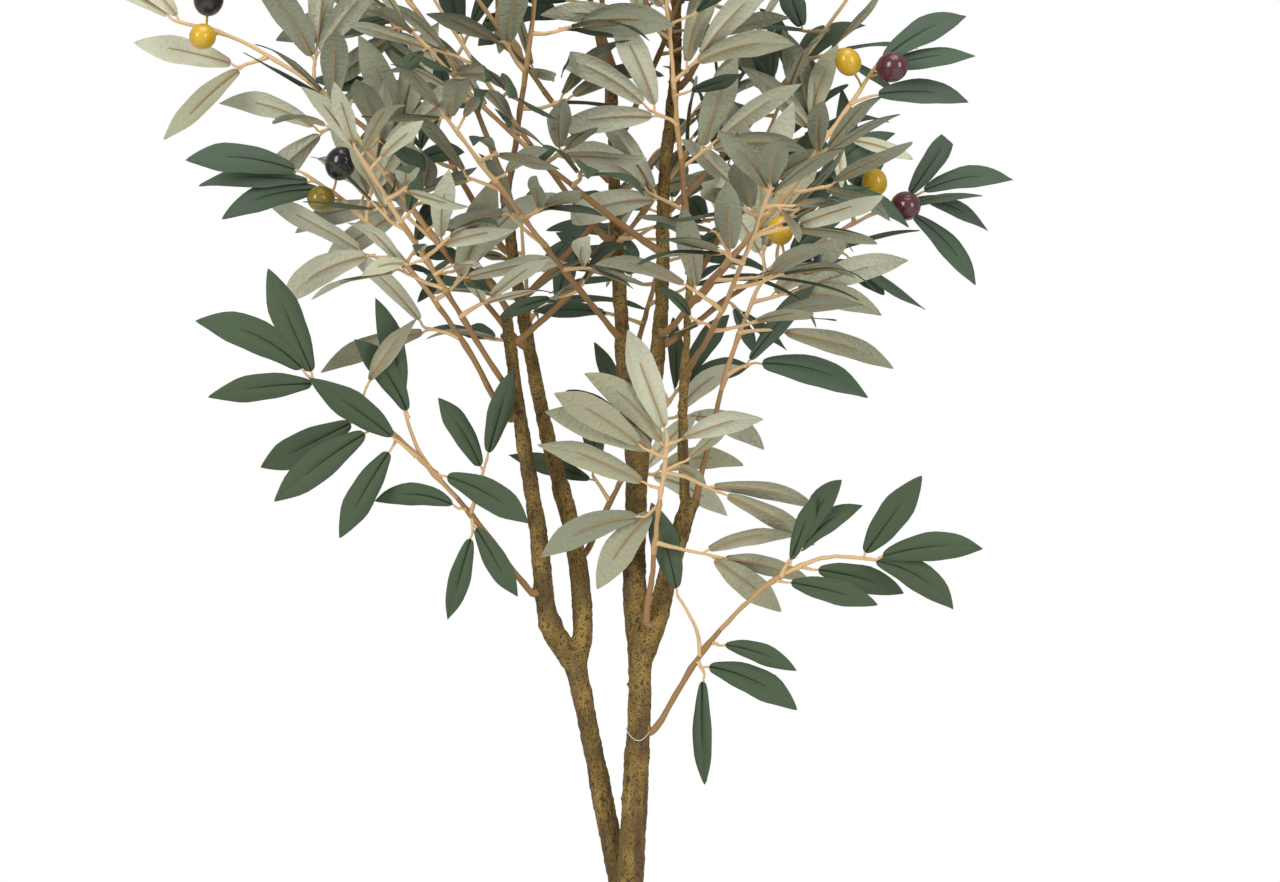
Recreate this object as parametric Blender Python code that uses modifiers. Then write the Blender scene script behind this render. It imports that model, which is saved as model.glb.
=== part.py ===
"""Artificial olive tree in a plain nursery pot, 1.5 m tall.

Two trunks stand in the weighted pot, cross low down and fork into six limbs.
Every spray of leaves is one solid: a wire stem that leaves its limb, side
twigs that branch from it by a seeded rule, three or so leaves at each twig's
end, and a pair of olives on some.  Lengths in the tables are millimetres.
X runs to the right, Y to the back and Z up, from the middle of the pot's
underside.
"""
import math
import random

import bmesh
import bpy
from mathutils import Matrix, Vector
from mathutils.bvhtree import BVHTree

MM = 0.001
GAP = 0.3
SEAT_GAP = 0.42
FORK_GAP = 0.36
SEED = 20

# Pot and its weighted filling
POT_HEIGHT = 150.0
POT_BASE_RADIUS = 65.0
POT_TOP_RADIUS = 84.0
POT_WALL = 2.6
POT_COLLAR_HEIGHT = 20.0
POT_COLLAR_OUT = 3.0
POT_FOOT_CHAMFER = 3.0
POT_TURN_STEPS = 32
FILL_TOP = 130.0

# Whole tree
TREE_TOP = 1500.0
CROWN_MIDDLE = 1120.0
CROWN_HALF_HEIGHT = 380.0
CROWN_RADIUS = 395.0
TRUNK_SIDES = 12
LIMB_SIDES = 8
LINE_STEPS = 2
FOOT_CUT = 2.0
LIMB_C_STEM_ASIDE = 3.4

# Leaves, twigs and fruit
LEAF_LONG = 74.0
LEAF_SHORT = 58.0
LEAF_SLENDER = 0.28
LEAF_THICK = 1.5
LEAF_ROOT_WIDE = 1.3
LEAF_ROOT_THICK = 1.0
LEAF_WIDEST_AT = 0.62
LEAF_STEP = 4.5
LEAF_SAG = 0.30
LEAF_CURL = 0.10
LEAF_LIFT = (0.15, 0.80)
LEAF_STACK = 0.09
SHOWN_PLAY = 0.7
TWIG_RADIUS = 1.9
TWIG_TIP_RADIUS = 1.6
STEM_RADIUS = 3.0
STEM_TIP_RADIUS = 2.0
OLIVE_RADIUS = 12.0
OLIVE_STALK = 15.0
CLEAR = 1.0
FLAT = 1.0

# name: (sides, end radii, flare at the foot and at the fork, centre line)
LIMBS = {
    "trunk_right": (
        TRUNK_SIDES, (9.6, 8.2), (5.0, 2.2),
        ((-15, -13, 130.3), (-14, -13, 200), (-6, -13, 400), (2, -11, 560),
         (6, -9, 655), (2, -7, 720), (4, -6, 824)),
    ),
    "trunk_left": (
        TRUNK_SIDES, (9.0, 7.4), (5.0, 3.0),
        ((22, 14, 130.3), (21, 14, 200), (7, 14, 400), (-22, 12, 560),
         (-45, 10, 672)),
    ),
    "limb_a": (
        LIMB_SIDES, (8.4, 4.4), (0.0, 0.0),
        ((-45, 10, 664), (-63, 4, 697), (-70, -8, 760), (-83, -14, 842), (-94, -16, 925)),
    ),
    "limb_b": (
        LIMB_SIDES, (7.4, 4.2), (0.0, 0.0),
        ((-42, 10, 662), (-37, 14, 692), (-44, 20, 755), (-65, 22, 838), (-86, 20, 945),
         (-97, 22, 1025)),
    ),
    "limb_c": (
        LIMB_SIDES, (8.2, 7.0), (0.0, 0.0),
        ((5, -9, 662), (17, -13, 690), (29, -15, 737), (44, -14, 786)),
    ),
    "limb_d": (
        6, (3.4, 2.9), (0.0, 0.0),
        ((39.5, -13, 780), (38, -12, 840), (40, -14, 890), (43.5, -18, 957)),
    ),
    "limb_e": (
        LIMB_SIDES, (6.6, 4.0), (0.0, 0.0),
        ((3, -6, 816), (-3, 0, 850), (-9, 8, 935), (-13, 18, 1010), (-15, 26, 1110)),
    ),
    "limb_f": (
        LIMB_SIDES, (6.4, 3.6), (0.0, 0.0),
        ((5, -6, 816), (14, -12, 858), (22, -16, 930), (24, -14, 1020), (33, -8, 1120),
         (30, 0, 1230)),
    ),
}
# Which pieces each limb is cut back from, where it leaves them
FORKS = {
    "limb_a": ("trunk_left",),
    "limb_b": ("trunk_left", "limb_a"),
    "limb_c": ("trunk_right",),
    "limb_d": ("limb_c",),
    "limb_e": ("trunk_right",),
    "limb_f": ("trunk_right", "limb_e"),
}

# Side twigs of a spray: (place on the stem 0-1, turn from the stem in degrees,
# reach, leaves, spread of the leaves in degrees, length of its leaves as a share
# of the spray's, less than 0 where their undersides look to the spray's front).
# At place 1 the leaves stand on the stem's own end.
# name: (limb, height or None for its tip, tip of the stem, rise of its middle,
#        length of its leaves, where its olives hang or None, twigs)
SHOWN = {
    "spray_low_left": (
        "limb_a", 720, (-236, -70, 876), 19, 90, None,
        ((1.0, 0, 0, 3, 32, 0.94), (0.33, -58, 46, 3, 44, 0.76), (0.35, 46, 3, 1, 0, 0.66),
         (0.32, 140, 3, 2, 22, 0.76), (0.51, -160, 3, 1, 0, 0.82), (0.51, -22, 54, 2, 13, 0.84),
         (0.58, 4, 20, 1, 0, 0.90), (0.66, 94, 6, 1, 0, 0.82), (0.735, 74, 5, 1, 0, 0.97),
         (0.785, 74, 6, 1, 0, 0.94)),
    ),
    "spray_left": (
        "limb_a", 850, (-241, -50, 1026), 24, 83, 0.90,
        ((0.30, 40, 26, 2, 30, -1), (0.44, -84, 28, 3, 30, -1), (0.62, 52, 22, 2, 26, -1),
         (0.76, -54, 22, 3, 28, -1), (1.0, 24, 0, 3, 11, 1)),
    ),
    "spray_upper_left": (
        "limb_a", None, (-340, -25, 1142), 42, 80, 0.93,
        ((0.30, 62, 26, 3, 36, -1), (0.42, -58, 26, 3, 34, -1), (0.54, 56, 26, 2, 30, -1),
         (0.66, -54, 26, 3, 36, -1), (0.78, 50, 24, 2, 30, 1), (0.89, -48, 20, 2, 28, -1),
         (1.0, -4, 0, 3, 30, 1)),
    ),
    "spray_top_left": (
        "limb_b", None, (-216, 60, 1193), 36, 80, None,
        ((0.30, 60, 26, 3, 36, -1), (0.46, -58, 26, 3, 36, 1), (0.62, 54, 26, 3, 36, -1),
         (0.78, -50, 24, 3, 36, -1), (1.0, 0, 0, 3, 36, -1)),
    ),
    "spray_front": (
        "limb_c", 694, (26, -78, 832), 0, 91, None,
        ((0.45, -104, 56, 3, 22, -0.80), (0.65, 142, 8, 2, 14, -0.92),
         (0.73, 80, 8, 1, 0, -0.92), (0.82, -110, 42, 2, 8, -0.92), (0.90, 70, 8, 2, 11, -0.98),
         (0.96, -58, 8, 1, 0, -0.74), (1.0, 37, 0, 2, 12, -0.92)),
    ),
    "spray_low_right": (
        "trunk_right", 616, (178, -60, 742), 42, 86, None,
        ((0.36, -70, 5, 1, 0, 0.74), (0.28, -114, 4, 2, 32, 0.96), (0.30, 60, 46, 1, 0, 0.88),
         (0.66, -50, 3, 1, 0, 0.80), (0.76, -42, 3, 1, 0, 0.82), (0.68, 16, 28, 3, 18, 0.74),
         (1.0, 9, 0, 3, 43, 0.90)),
    ),
    "spray_back": (
        "limb_b", 745, (38, 78, 872), 10, 66, None,
        ((0.30, 58, 24, 2, 34, 1), (0.44, -56, 24, 3, 34, -1), (0.60, 54, 22, 3, 34, 1),
         (0.78, -50, 20, 2, 34, -1), (1.0, 0, 0, 3, 34, 1)),
    ),
    "spray_right": (
        "limb_c", None, (125, -34, 967), 50, 84, 0.98,
        ((0.46, -48, 20, 2, 34, 1), (0.62, -62, 26, 2, 24, -1), (0.74, -52, 30, 3, 20, -1),
         (0.84, 44, 24, 3, 34, -1), (1.0, -18, 0, 3, 26, 1)),
    ),
    "spray_upper_right": (
        "limb_d", 936, (184, 6, 1112), -6, 76, 0.95,
        ((0.34, 58, 26, 3, 36, -1), (0.50, -52, 24, 2, 30, 1), (0.66, 48, 24, 3, 30, -1),
         (0.84, -34, 18, 2, 22, 1), (1.0, -26, 0, 3, 24, 1)),
    ),
    "spray_far_right": (
        "limb_f", 905, (218, 70, 1018), 10, 72, 0.90,
        ((0.46, 52, 24, 2, 30, 1), (0.60, -50, 22, 2, 26, 1), (0.76, 64, 22, 3, 30, 1),
         (0.90, -44, 12, 2, 24, 1), (1.0, -14, 0, 3, 26, 1)),
    ),
    "spray_centre": (
        "limb_d", None, (25, -62, 1153), 0, 80, None,
        ((0.22, 60, 26, 3, 34, -1), (0.38, -58, 26, 3, 34, -1), (0.54, 56, 26, 3, 34, -1),
         (0.70, -54, 24, 3, 34, -1), (0.86, 50, 22, 2, 30, -1), (1.0, 0, 0, 3, 34, -1)),
    ),
    "spray_top_e": (
        "limb_e", None, (-100, 34, 1340), 10, 80, 0.90,
        ((0.28, 60, 26, 3, 36, 1), (0.42, -58, 26, 3, 36, -1), (0.56, 56, 26, 3, 36, 1),
         (0.72, -54, 24, 3, 36, -1), (0.86, 50, 20, 2, 30, 1), (1.0, 0, 0, 3, 36, -1)),
    ),
    "spray_top_f": (
        "limb_f", None, (18, 6, 1416), 0, 80, None,
        ((0.24, 60, 26, 3, 36, -1), (0.42, -58, 26, 3, 36, 1), (0.60, 56, 24, 3, 36, -1),
         (0.78, -54, 22, 2, 34, -1), (1.0, 0, 0, 3, 34, -1)),
    ),
}
# The rest of the crown: sprays that climb each limb, turning as they go
# limb: (lowest, highest, sprays, first heading, lowest and steepest climb in degrees)
RINGS = {
    "limb_b": (870, 1012, 5, 95, (36, 62)),
    "limb_a": (872, 905, 2, 250, (44, 52)),
    "limb_d": (880, 946, 2, 285, (34, 44)),
    "limb_e": (885, 1104, 10, 80, (32, 66)),
    "limb_f": (912, 1222, 11, 300, (32, 68)),
}
TURN = 137.5
TWIG_EVERY = 40.0


def point(values):
    """A place in metres from millimetres."""
    return Vector(values) * MM


def smooth(points, steps):
    """A Catmull-Rom line through the points, with this many parts a span."""
    ends = [points[0] * 2 - points[1]] + list(points) + [points[-1] * 2 - points[-2]]
    line = []
    for a, b, c, d in zip(ends, ends[1:], ends[2:], ends[3:]):
        for k in range(steps):
            t = k / steps
            line.append(
                (b * 2 + (c - a) * t + (a * 2 - b * 5 + c * 4 - d) * t * t
                 + (b * 3 - a - c * 3 + d) * t * t * t) * 0.5
            )
    line.append(points[-1].copy())
    return line


def lengths(line):
    """How far along the line each of its points lies."""
    total = [0.0]
    for a, b in zip(line, line[1:]):
        total.append(total[-1] + (b - a).length)
    return total


def along(line, t):
    """The place and the heading at this share of the line's length."""
    marks = lengths(line)
    want = max(0.0, min(1.0, t)) * marks[-1]
    for a, b, low, high in zip(line, line[1:], marks, marks[1:]):
        if want <= high or b is line[-1]:
            part = (want - low) / max(high - low, 1e-9)
            return a.lerp(b, min(part, 1.0)), (b - a).normalized()
    return line[-1].copy(), (line[-1] - line[-2]).normalized()


def across(direction, wanted):
    """wanted, made square to direction."""
    flat = wanted - direction * wanted.dot(direction)
    if flat.length < 1e-6:
        flat = direction.orthogonal()
    return flat.normalized()


def mesh_object(name, mesh, home):
    thing = bpy.data.objects.new(name, mesh)
    home.objects.link(thing)
    return thing


def face_out(skin):
    """Turns every face of a closed bmesh outwards."""
    bmesh.ops.recalc_face_normals(skin, faces=skin.faces)
    if skin.calc_volume(signed=True) < 0:
        bmesh.ops.reverse_faces(skin, faces=skin.faces)


def rod(name, line, radii, sides, home, leaf=None):
    """A closed tube along the line, as a curve with a bevel turned into a mesh.
    Its end may widen into a leaf."""
    curve = bpy.data.curves.new(name + "_line", "CURVE")
    curve.dimensions = "3D"
    curve.use_fill_caps = True
    if sides == 3:
        curve.bevel_mode = "OBJECT"
        curve.bevel_object = three_sided
    else:
        curve.bevel_depth = 1.0
        curve.bevel_resolution = (sides - 4) // 2
    spline = curve.splines.new("POLY")
    spline.points.add(len(line) - 1)
    for place, co, radius in zip(spline.points, line, radii):
        place.co = (co.x, co.y, co.z, 1.0)
        place.radius = radius
    guide = mesh_object(name + "_guide", curve, home)
    seen = guide.evaluated_get(bpy.context.evaluated_depsgraph_get())
    mesh = bpy.data.meshes.new_from_object(seen)
    bpy.data.objects.remove(guide)
    bpy.data.curves.remove(curve)
    mesh.name = name
    skin = bmesh.new()
    skin.from_mesh(mesh)
    bmesh.ops.remove_doubles(skin, verts=skin.verts, dist=1e-7)
    if leaf:
        add_blade(skin, line[-1], leaf)
    bmesh.ops.triangulate(skin, faces=skin.faces)
    face_out(skin)
    skin.to_mesh(mesh)
    skin.free()
    mesh.materials.clear()
    return mesh_object(name, mesh, home)


def add_blade(skin, end, leaf):
    """Opens a three-sided rod's end and draws it out into a leaf."""
    cap = min(skin.faces, key=lambda face: (face.calc_center_median() - end).length)
    root = list(cap.verts)
    bmesh.ops.delete(skin, geom=[cap], context="FACES_ONLY")
    side = leaf["normal"].cross(leaf["along"])
    top = max(root, key=lambda vert: (vert.co - end).dot(leaf["normal"]))
    root.remove(top)
    left, right = sorted(root, key=lambda vert: -(vert.co - end).dot(side))
    corners = blade_points(leaf, 0.0, 0.0)
    wide_left, wide_right, tip = [skin.verts.new(corner) for corner in corners[3:]]
    around = (top, left, right, wide_left, wide_right, tip)
    for face in BLADE_FACES[1:]:
        skin.faces.new([around[k] for k in face])


def limb_shape(name, grow=0.0):
    """A limb's line and its radius at each point, grown all round by grow."""
    sides, (start, end), (foot, fork), points = LIMBS[name]
    line = smooth([point(p) for p in points], LINE_STEPS)
    if name.startswith("trunk"):
        line.insert(1, line[0] + Vector((0, 0, FOOT_CUT * MM)))
    marks = lengths(line)
    radii = []
    for mark in marks:
        part = mark / marks[-1]
        radius = start + (end - start) * part
        radius += foot * math.exp(-mark / (24 * MM))
        radius += fork * math.exp((mark - marks[-1]) / (22 * MM))
        radii.append((radius + grow / math.cos(math.pi / sides)) * MM)
    if grow:
        line[0] = line[0] + (line[0] - line[1]).normalized() * grow * MM
        line[-1] = line[-1] + (line[-1] - line[-2]).normalized() * grow * MM
    return line, radii, sides


def cut_back(thing, cutters):
    """Takes the cutters off thing and applies it."""
    for cutter in cutters:
        step = thing.modifiers.new("clear", "BOOLEAN")
        step.operation = "DIFFERENCE"
        step.solver = "EXACT"
        step.object = cutter
    apply_all(thing)
    for cutter in cutters:
        bpy.data.objects.remove(cutter)


def apply_all(thing):
    seen = thing.evaluated_get(bpy.context.evaluated_depsgraph_get())
    mesh = bpy.data.meshes.new_from_object(seen)
    old = thing.data
    thing.modifiers.clear()
    thing.data = mesh
    bpy.data.meshes.remove(old)
    mesh.name = thing.name


def islands(skin):
    """The separate bodies of a bmesh, as faces joined along edges, largest first."""
    left = set(skin.faces)
    bodies = []
    while left:
        first = left.pop()
        body = [first]
        todo = [first]
        while todo:
            for edge in todo.pop().edges:
                for face in edge.link_faces:
                    if face in left:
                        left.discard(face)
                        body.append(face)
                        todo.append(face)
        bodies.append(body)
    return sorted(bodies, key=len, reverse=True)


def one_body(thing):
    """Keeps the main body alone and welds tiny edges.  Returns what it dropped
    and how many edges stay open."""
    best = None
    for weld in (1e-6, 3e-7, 3e-6, 1e-7, 1e-5):
        skin = bmesh.new()
        skin.from_mesh(thing.data)
        bmesh.ops.remove_doubles(skin, verts=skin.verts, dist=weld)
        bodies = islands(skin)
        for body in bodies[1:]:
            bmesh.ops.delete(skin, geom=body, context="FACES")
        bmesh.ops.dissolve_limit(
            skin, angle_limit=math.radians(FLAT), verts=skin.verts, edges=skin.edges
        )
        bmesh.ops.triangulate(skin, faces=skin.faces)
        face_out(skin)
        loose = sum(not edge.is_manifold for edge in skin.edges)
        if best is None or loose < best[1]:
            if best:
                best[2].free()
            best = (len(bodies) - 1, loose, skin)
        else:
            skin.free()
        if loose == 0:
            break
    best[2].to_mesh(thing.data)
    best[2].free()
    return best[:2]


def tree_of(thing):
    mesh = thing.data
    return BVHTree.FromPolygons(
        [v.co.copy() for v in mesh.vertices], [tuple(p.vertices) for p in mesh.polygons]
    )


# ---------------------------------------------------------------- the rule


def rod_hull(line, radii, extra):
    """Corners and faces of a plain four-sided rod, for testing."""
    corners = []
    faces = []
    for a, b, ra, rb in zip(line, line[1:], radii, radii[1:]):
        heading = (b - a).normalized()
        u = heading.orthogonal().normalized()
        v = heading.cross(u)
        first = len(corners)
        for end, radius in ((a, ra * 1.41 + extra), (b, rb * 1.41 + extra)):
            for k in range(4):
                turn = math.pi / 2 * k
                corners.append(end + (u * math.cos(turn) + v * math.sin(turn)) * radius)
        faces.append((first, first + 1, first + 2, first + 3))
        faces.append((first + 7, first + 6, first + 5, first + 4))
        for k in range(4):
            n = (k + 1) % 4
            faces.append((first + k, first + n, first + 4 + n, first + 4 + k))
    return corners, faces


def blade_points(leaf, start, extra):
    """A leaf's six corners: three at its root, one each side at its widest, the tip."""
    length = leaf["length"]
    side = leaf["normal"].cross(leaf["along"])
    wide = max(LEAF_ROOT_WIDE * MM, start * leaf["width"] * 1.5) / 2 + extra
    deep = LEAF_ROOT_THICK * MM / 2 + extra
    broad = leaf["width"] / 2 + extra
    keel = LEAF_THICK * MM - LEAF_ROOT_THICK * MM / 2 + extra
    corners = []
    for station, sideways, out in (
        (start, 0, deep), (start, wide, -deep), (start, -wide, -deep),
        (LEAF_WIDEST_AT, broad, keel), (LEAF_WIDEST_AT, -broad, keel), (1, 0, 0),
    ):
        reach = station * length + (extra if station == 1 else 0)
        corners.append(
            leaf["root"] + leaf["along"] * reach + side * sideways
            + leaf["normal"] * out + leaf["bow"] * (station ** 2 - station)
        )
    return corners


BLADE_FACES = (
    (0, 1, 2), (0, 3, 1), (0, 2, 4), (0, 4, 3), (5, 3, 4), (5, 1, 3), (5, 2, 1), (5, 4, 2),
)


def blade_room(leaf, extra):
    """A four-sided hull with this much room on every side of a leaf, for testing."""
    side = leaf["normal"].cross(leaf["along"])
    deep = LEAF_ROOT_THICK * MM / 2 + extra
    keel = LEAF_THICK * MM - LEAF_ROOT_THICK * MM / 2 + extra
    corners = []
    for station, reach, wide, high in (
        (0, -extra, LEAF_ROOT_WIDE * MM / 2 + extra, deep),
        (LEAF_WIDEST_AT, 0, leaf["width"] / 2 + extra, keel),
        (1, extra, extra, deep),
    ):
        middle = leaf["root"] + leaf["along"] * (station * leaf["length"] + reach)
        middle += leaf["bow"] * (station ** 2 - station)
        for sideways, out in ((wide, high), (-wide, high), (-wide, -deep), (wide, -deep)):
            corners.append(middle + side * sideways + leaf["normal"] * out)
    return corners, ROOM_FACES


ROOM_FACES = tuple(
    (4 * s + k, 4 * s + (k + 1) % 4, 4 * s + 4 + (k + 1) % 4, 4 * s + 4 + k)
    for s in range(2)
    for k in range(4)
) + ((3, 2, 1, 0), (8, 9, 10, 11))


def ball_hull(centre, radius):
    """A plain many-sided ball that holds an olive, for testing."""
    corners = [centre + Vector((0, 0, radius * 1.25)), centre - Vector((0, 0, radius * 1.25))]
    faces = []
    for k in range(8):
        turn = math.pi / 4 * k
        out = Vector((math.cos(turn), math.sin(turn), 0)) * radius * 1.15
        corners.append(centre + out + Vector((0, 0, radius * 0.55)))
        corners.append(centre + out - Vector((0, 0, radius * 0.55)))
    for k in range(8):
        a, b = 2 + 2 * k, 2 + 2 * ((k + 1) % 8)
        faces += [(0, a, b), (1, b + 1, a + 1), (a, a + 1, b + 1, b)]
    return corners, faces


def touches(hull, trees):
    tree = BVHTree.FromPolygons(hull[0], hull[1])
    return any(tree.overlap(other) for other in trees)


def grow_leaf(root, heading, front, size, play, rng, placed, own):
    """One leaf, tried at a few rolls and leans, or None where it has no room."""
    draws = [[rng.uniform(-1, 1) for _ in range(5)] for _ in range(6)]
    for k, (a, b, c, d, e) in enumerate(draws):
        loose = play * (1 + 0.4 * k)
        direction = Matrix.Rotation(math.radians(8) * a * loose, 3, front) @ heading
        direction = (direction + front * 0.18 * b * loose).normalized()
        normal = across(direction, front)
        normal = Matrix.Rotation(math.radians(26) * c * loose, 3, direction) @ normal
        length = size * (1 + 0.08 * d) * MM
        side = normal.cross(direction)
        sag = side * -side.z * LEAF_SAG * (1 + 0.4 * e)
        leaf = {
            "root": root,
            "along": direction,
            "normal": normal,
            "length": length,
            "width": length * LEAF_SLENDER * (1 + 0.08 * e),
            "bow": (sag - normal * LEAF_CURL * (1 + c)) * length,
        }
        hull = blade_room(leaf, CLEAR * MM)
        if max(p.z for p in hull[0]) > TREE_TOP * MM:
            continue
        if touches(hull, placed):
            continue
        outer = (blade_points(leaf, 0.09, 0.1 * MM), BLADE_FACES)
        if touches(outer, own):
            continue
        own.append(BVHTree.FromPolygons(outer[0], outer[1]))
        return leaf
    return None


def grow_spray(line, front, twigs, olives, size, play, rng, placed):
    """Everything on one stem: rods, leaves and olives that have room."""
    marks = lengths(line)
    radii = [
        (STEM_RADIUS + (STEM_TIP_RADIUS - STEM_RADIUS) * mark / marks[-1]) * MM
        for mark in marks
    ]
    rods = []
    own = [BVHTree.FromPolygons(*rod_hull(line, radii, 0.0))]
    leaves = []
    hung = []
    stem_leaf = None
    if olives is not None:
        base, heading = along(line, olives)
        for k, grade in enumerate((1.0, 0.86)):
            aside = across(heading, front).cross(heading) * (0.75 if k else -0.7)
            out = (Vector((0, -0.6, 0.6)) + aside).normalized()
            radius = OLIVE_RADIUS * grade * MM
            foot = base - heading * 9 * k * MM
            stalk = [foot, foot + out * OLIVE_STALK * MM]
            centre = stalk[-1] + out * radius * 0.8
            if touches(ball_hull(centre, radius + CLEAR * MM), placed + own):
                continue
            own.append(BVHTree.FromPolygons(*ball_hull(centre, radius)))
            rods.append((stalk, [TWIG_TIP_RADIUS * MM] * 2, None))
            hung.append((centre, radius, out, k))
    high = min(1.0, max(0.0, (line[-1].z / MM - 880) / 120))
    lift = Vector((0, 0, LEAF_LIFT[0] + (LEAF_LIFT[1] - LEAF_LIFT[0]) * high))
    for place, turn, reach, count, spread, share in twigs:
        base, heading = along(line, place)
        face = across(heading, front)
        lean = rng.uniform(-0.30, 0.30)
        grade = rng.uniform(0.88, 1.10)
        turn += rng.uniform(-44, 44) * (play - SHOWN_PLAY)
        go = Matrix.Rotation(math.radians(turn), 3, face) @ heading
        step = max(LEAF_STEP, 15 - 0.4 * spread)
        if reach:
            go = (go + face * lean).normalized()
            reach = max(reach * grade, step * (count - 1) + 5)
            twig = [base, base + go * reach * MM]
            thin = [TWIG_RADIUS * MM, TWIG_TIP_RADIUS * MM]
            free = not touches(rod_hull(twig, thin, CLEAR * MM), placed)
            carrier = twig
        else:
            free = True
            carrier = line
        far = lengths(carrier)[-1] / MM
        grown = []
        end_leaf = None
        room = placed if free else []
        seen = list(own)
        order = sorted(range(count), key=lambda k: abs(2 * k - count + 1))
        for rank, k in enumerate(order):
            back = step * rank + (1.0 if rank else 0.0)
            foot, end = along(carrier, 1 - back / far)
            if not reach:
                end = go
            face_end = across(end, face)
            swing = spread * (2 * k / (count - 1) - 1) if count > 1 else 0.0
            way = Matrix.Rotation(math.radians(swing), 3, face_end) @ end
            way = (way + face_end * LEAF_STACK * (k - (count - 1) / 2)).normalized()
            upper = face_end * math.copysign(1.0, share) + lift
            long = size * abs(share) * (1.04 if rank == 0 else 1.0)
            leaf = grow_leaf(foot, way, upper, long, play, rng, room, seen)
            if leaf and free:
                if rank == 0:
                    end_leaf = leaf
                else:
                    grown.append(leaf)
        if not free or not (grown or end_leaf):
            continue
        leaves += grown
        own = seen
        if reach:
            rods.append((twig, thin, end_leaf))
            own.append(BVHTree.FromPolygons(*rod_hull(twig, thin, 0.0)))
        else:
            stem_leaf = end_leaf
    rods.insert(0, (line, radii, stem_leaf))
    return {"rods": rods, "leaves": leaves, "olives": hung}


def spray_tree(parts):
    """What later sprays must keep clear of."""
    corners = []
    faces = []
    hulls = [rod_hull(line, radii, 0.0) for line, radii, _ in parts["rods"]]
    hulls += [(blade_points(leaf, 0.0, 0.0), BLADE_FACES) for leaf in every_leaf(parts)]
    hulls += [ball_hull(centre, radius) for centre, radius, _, _ in parts["olives"]]
    for more, sides in hulls:
        first = len(corners)
        corners += more
        faces += [tuple(first + k for k in side) for side in sides]
    return BVHTree.FromPolygons(corners, faces)


def every_leaf(parts):
    """The leaves that end a rod and those that stand on one."""
    return [leaf for _, _, leaf in parts["rods"] if leaf] + parts["leaves"]


def plain_twigs(length):
    """Twigs by the rule: one each TWIG_EVERY, turned left and right in turn."""
    count = max(3, round(length / TWIG_EVERY / MM))
    twigs = []
    for k in range(1, count):
        place = 0.20 + 0.72 * k / count
        turn = (64 if k % 2 else -60) + 5 * (k % 3)
        leaves = 2 if k % 3 == 2 else 3
        twigs.append((place, turn, 40 - 16 * place, leaves, 32, 1))
    twigs.append((1.0, 0, 0, 3, 35, 1))
    return twigs


def crown_reach(start, way):
    """How far it is from start along way to the crown's outline."""
    reach = 0.0
    inside = True
    while inside:
        reach += 5 * MM
        place = start + way * reach
        high = (place.z / MM - CROWN_MIDDLE) / CROWN_HALF_HEIGHT
        out = math.hypot(place.x, place.y) / MM / CROWN_RADIUS
        inside = high * high + out * out < 1
    return reach


def seat(limb, height, outward, trees):
    """Where a stem meets its limb, GAP clear of the bark, and the way it leaves."""
    line = limb_shape(limb)[0]
    if height is None:
        way = (line[-1] - line[-2]).normalized()
        place = line[-1] + way * GAP * MM
        if limb == "limb_c":
            place += across(way, Vector((1, 0.2, 0))) * LIMB_C_STEM_ASIDE * MM
        return place, way
    for a, b in zip(line, line[1:]):
        if a.z <= height * MM <= b.z:
            axis = a.lerp(b, (height * MM - a.z) / (b.z - a.z))
            break
    out = across((b - a).normalized(), outward)
    hit, way, _, _ = trees[limb].ray_cast(axis + out * 60 * MM, -out)
    return hit + way * SEAT_GAP * MM, way


def stem_line(place, way, tip, rise, parts):
    """A stem from its seat to its tip, square to the bark at first."""
    lift = place + way * 5 * MM
    bend = (lift + tip) / 2 + Vector((0, 0, 2 * rise * MM))
    line = [place]
    for k in range(parts + 1):
        t = k / parts
        line.append(lift * (1 - t) ** 2 + bend * 2 * t * (1 - t) + tip * t * t)
    return line


def all_sprays(trees):
    """Every spray of the crown: name, stem, front, twigs, olives, leaf size."""
    rng = random.Random(SEED)
    placed = list(trees.values())
    crown = {}
    for name, (limb, height, tip, rise, size, olives, twigs) in SHOWN.items():
        tip = point(tip)
        axis = limb_shape(limb)[0][-1]
        place, way = seat(limb, height, tip - axis, trees)
        line = stem_line(place, way, tip, rise, 5)
        front = across((tip - place).normalized(), Vector((0, -1, 0)))
        crown[name] = grow_spray(line, front, twigs, olives, size, SHOWN_PLAY, rng, placed)
        placed.append(spray_tree(crown[name]))
    for limb, (low, high, count, first, (flat, steep)) in RINGS.items():
        for k in range(count):
            share = k / max(count - 1, 1)
            height = low + (high - low) * share
            heading = math.radians(first + TURN * k)
            climb = math.radians(flat + (steep - flat) * share + rng.uniform(-5, 5))
            size = rng.uniform(LEAF_SHORT, LEAF_LONG)
            sag = rng.uniform(-15, 5)
            level = Vector((math.cos(heading), math.sin(heading), 0))
            for turn in (0, 14, -14, 28, -28, 42, -42, 56, -56):
                out = Matrix.Rotation(math.radians(turn), 3, "Z") @ level
                place, way = seat(limb, height, out, trees)
                rising = out * math.cos(climb) + Vector((0, 0, math.sin(climb)))
                reach = crown_reach(place, rising) - size * MM
                reach = max(min(reach, 250 * MM), 90 * MM)
                tip = place + rising * reach
                line = stem_line(place, way, tip, sag, 4)
                hull = rod_hull(line[1:], [STEM_RADIUS * MM] * (len(line) - 1), CLEAR * MM)
                if not touches(hull, placed):
                    break
            else:
                continue
            front = across((tip - place).normalized(), Vector((0, 0, 1)))
            olives = 0.92 if k % 3 == 1 and tip.y > 0 else None
            name = f"spray_{limb[-1]}{k + 1}"
            twigs = plain_twigs(reach)
            crown[name] = grow_spray(line, front, twigs, olives, size, 1.0, rng, placed)
            placed.append(spray_tree(crown[name]))
    return crown


# ------------------------------------------------------------- the solids


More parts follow.
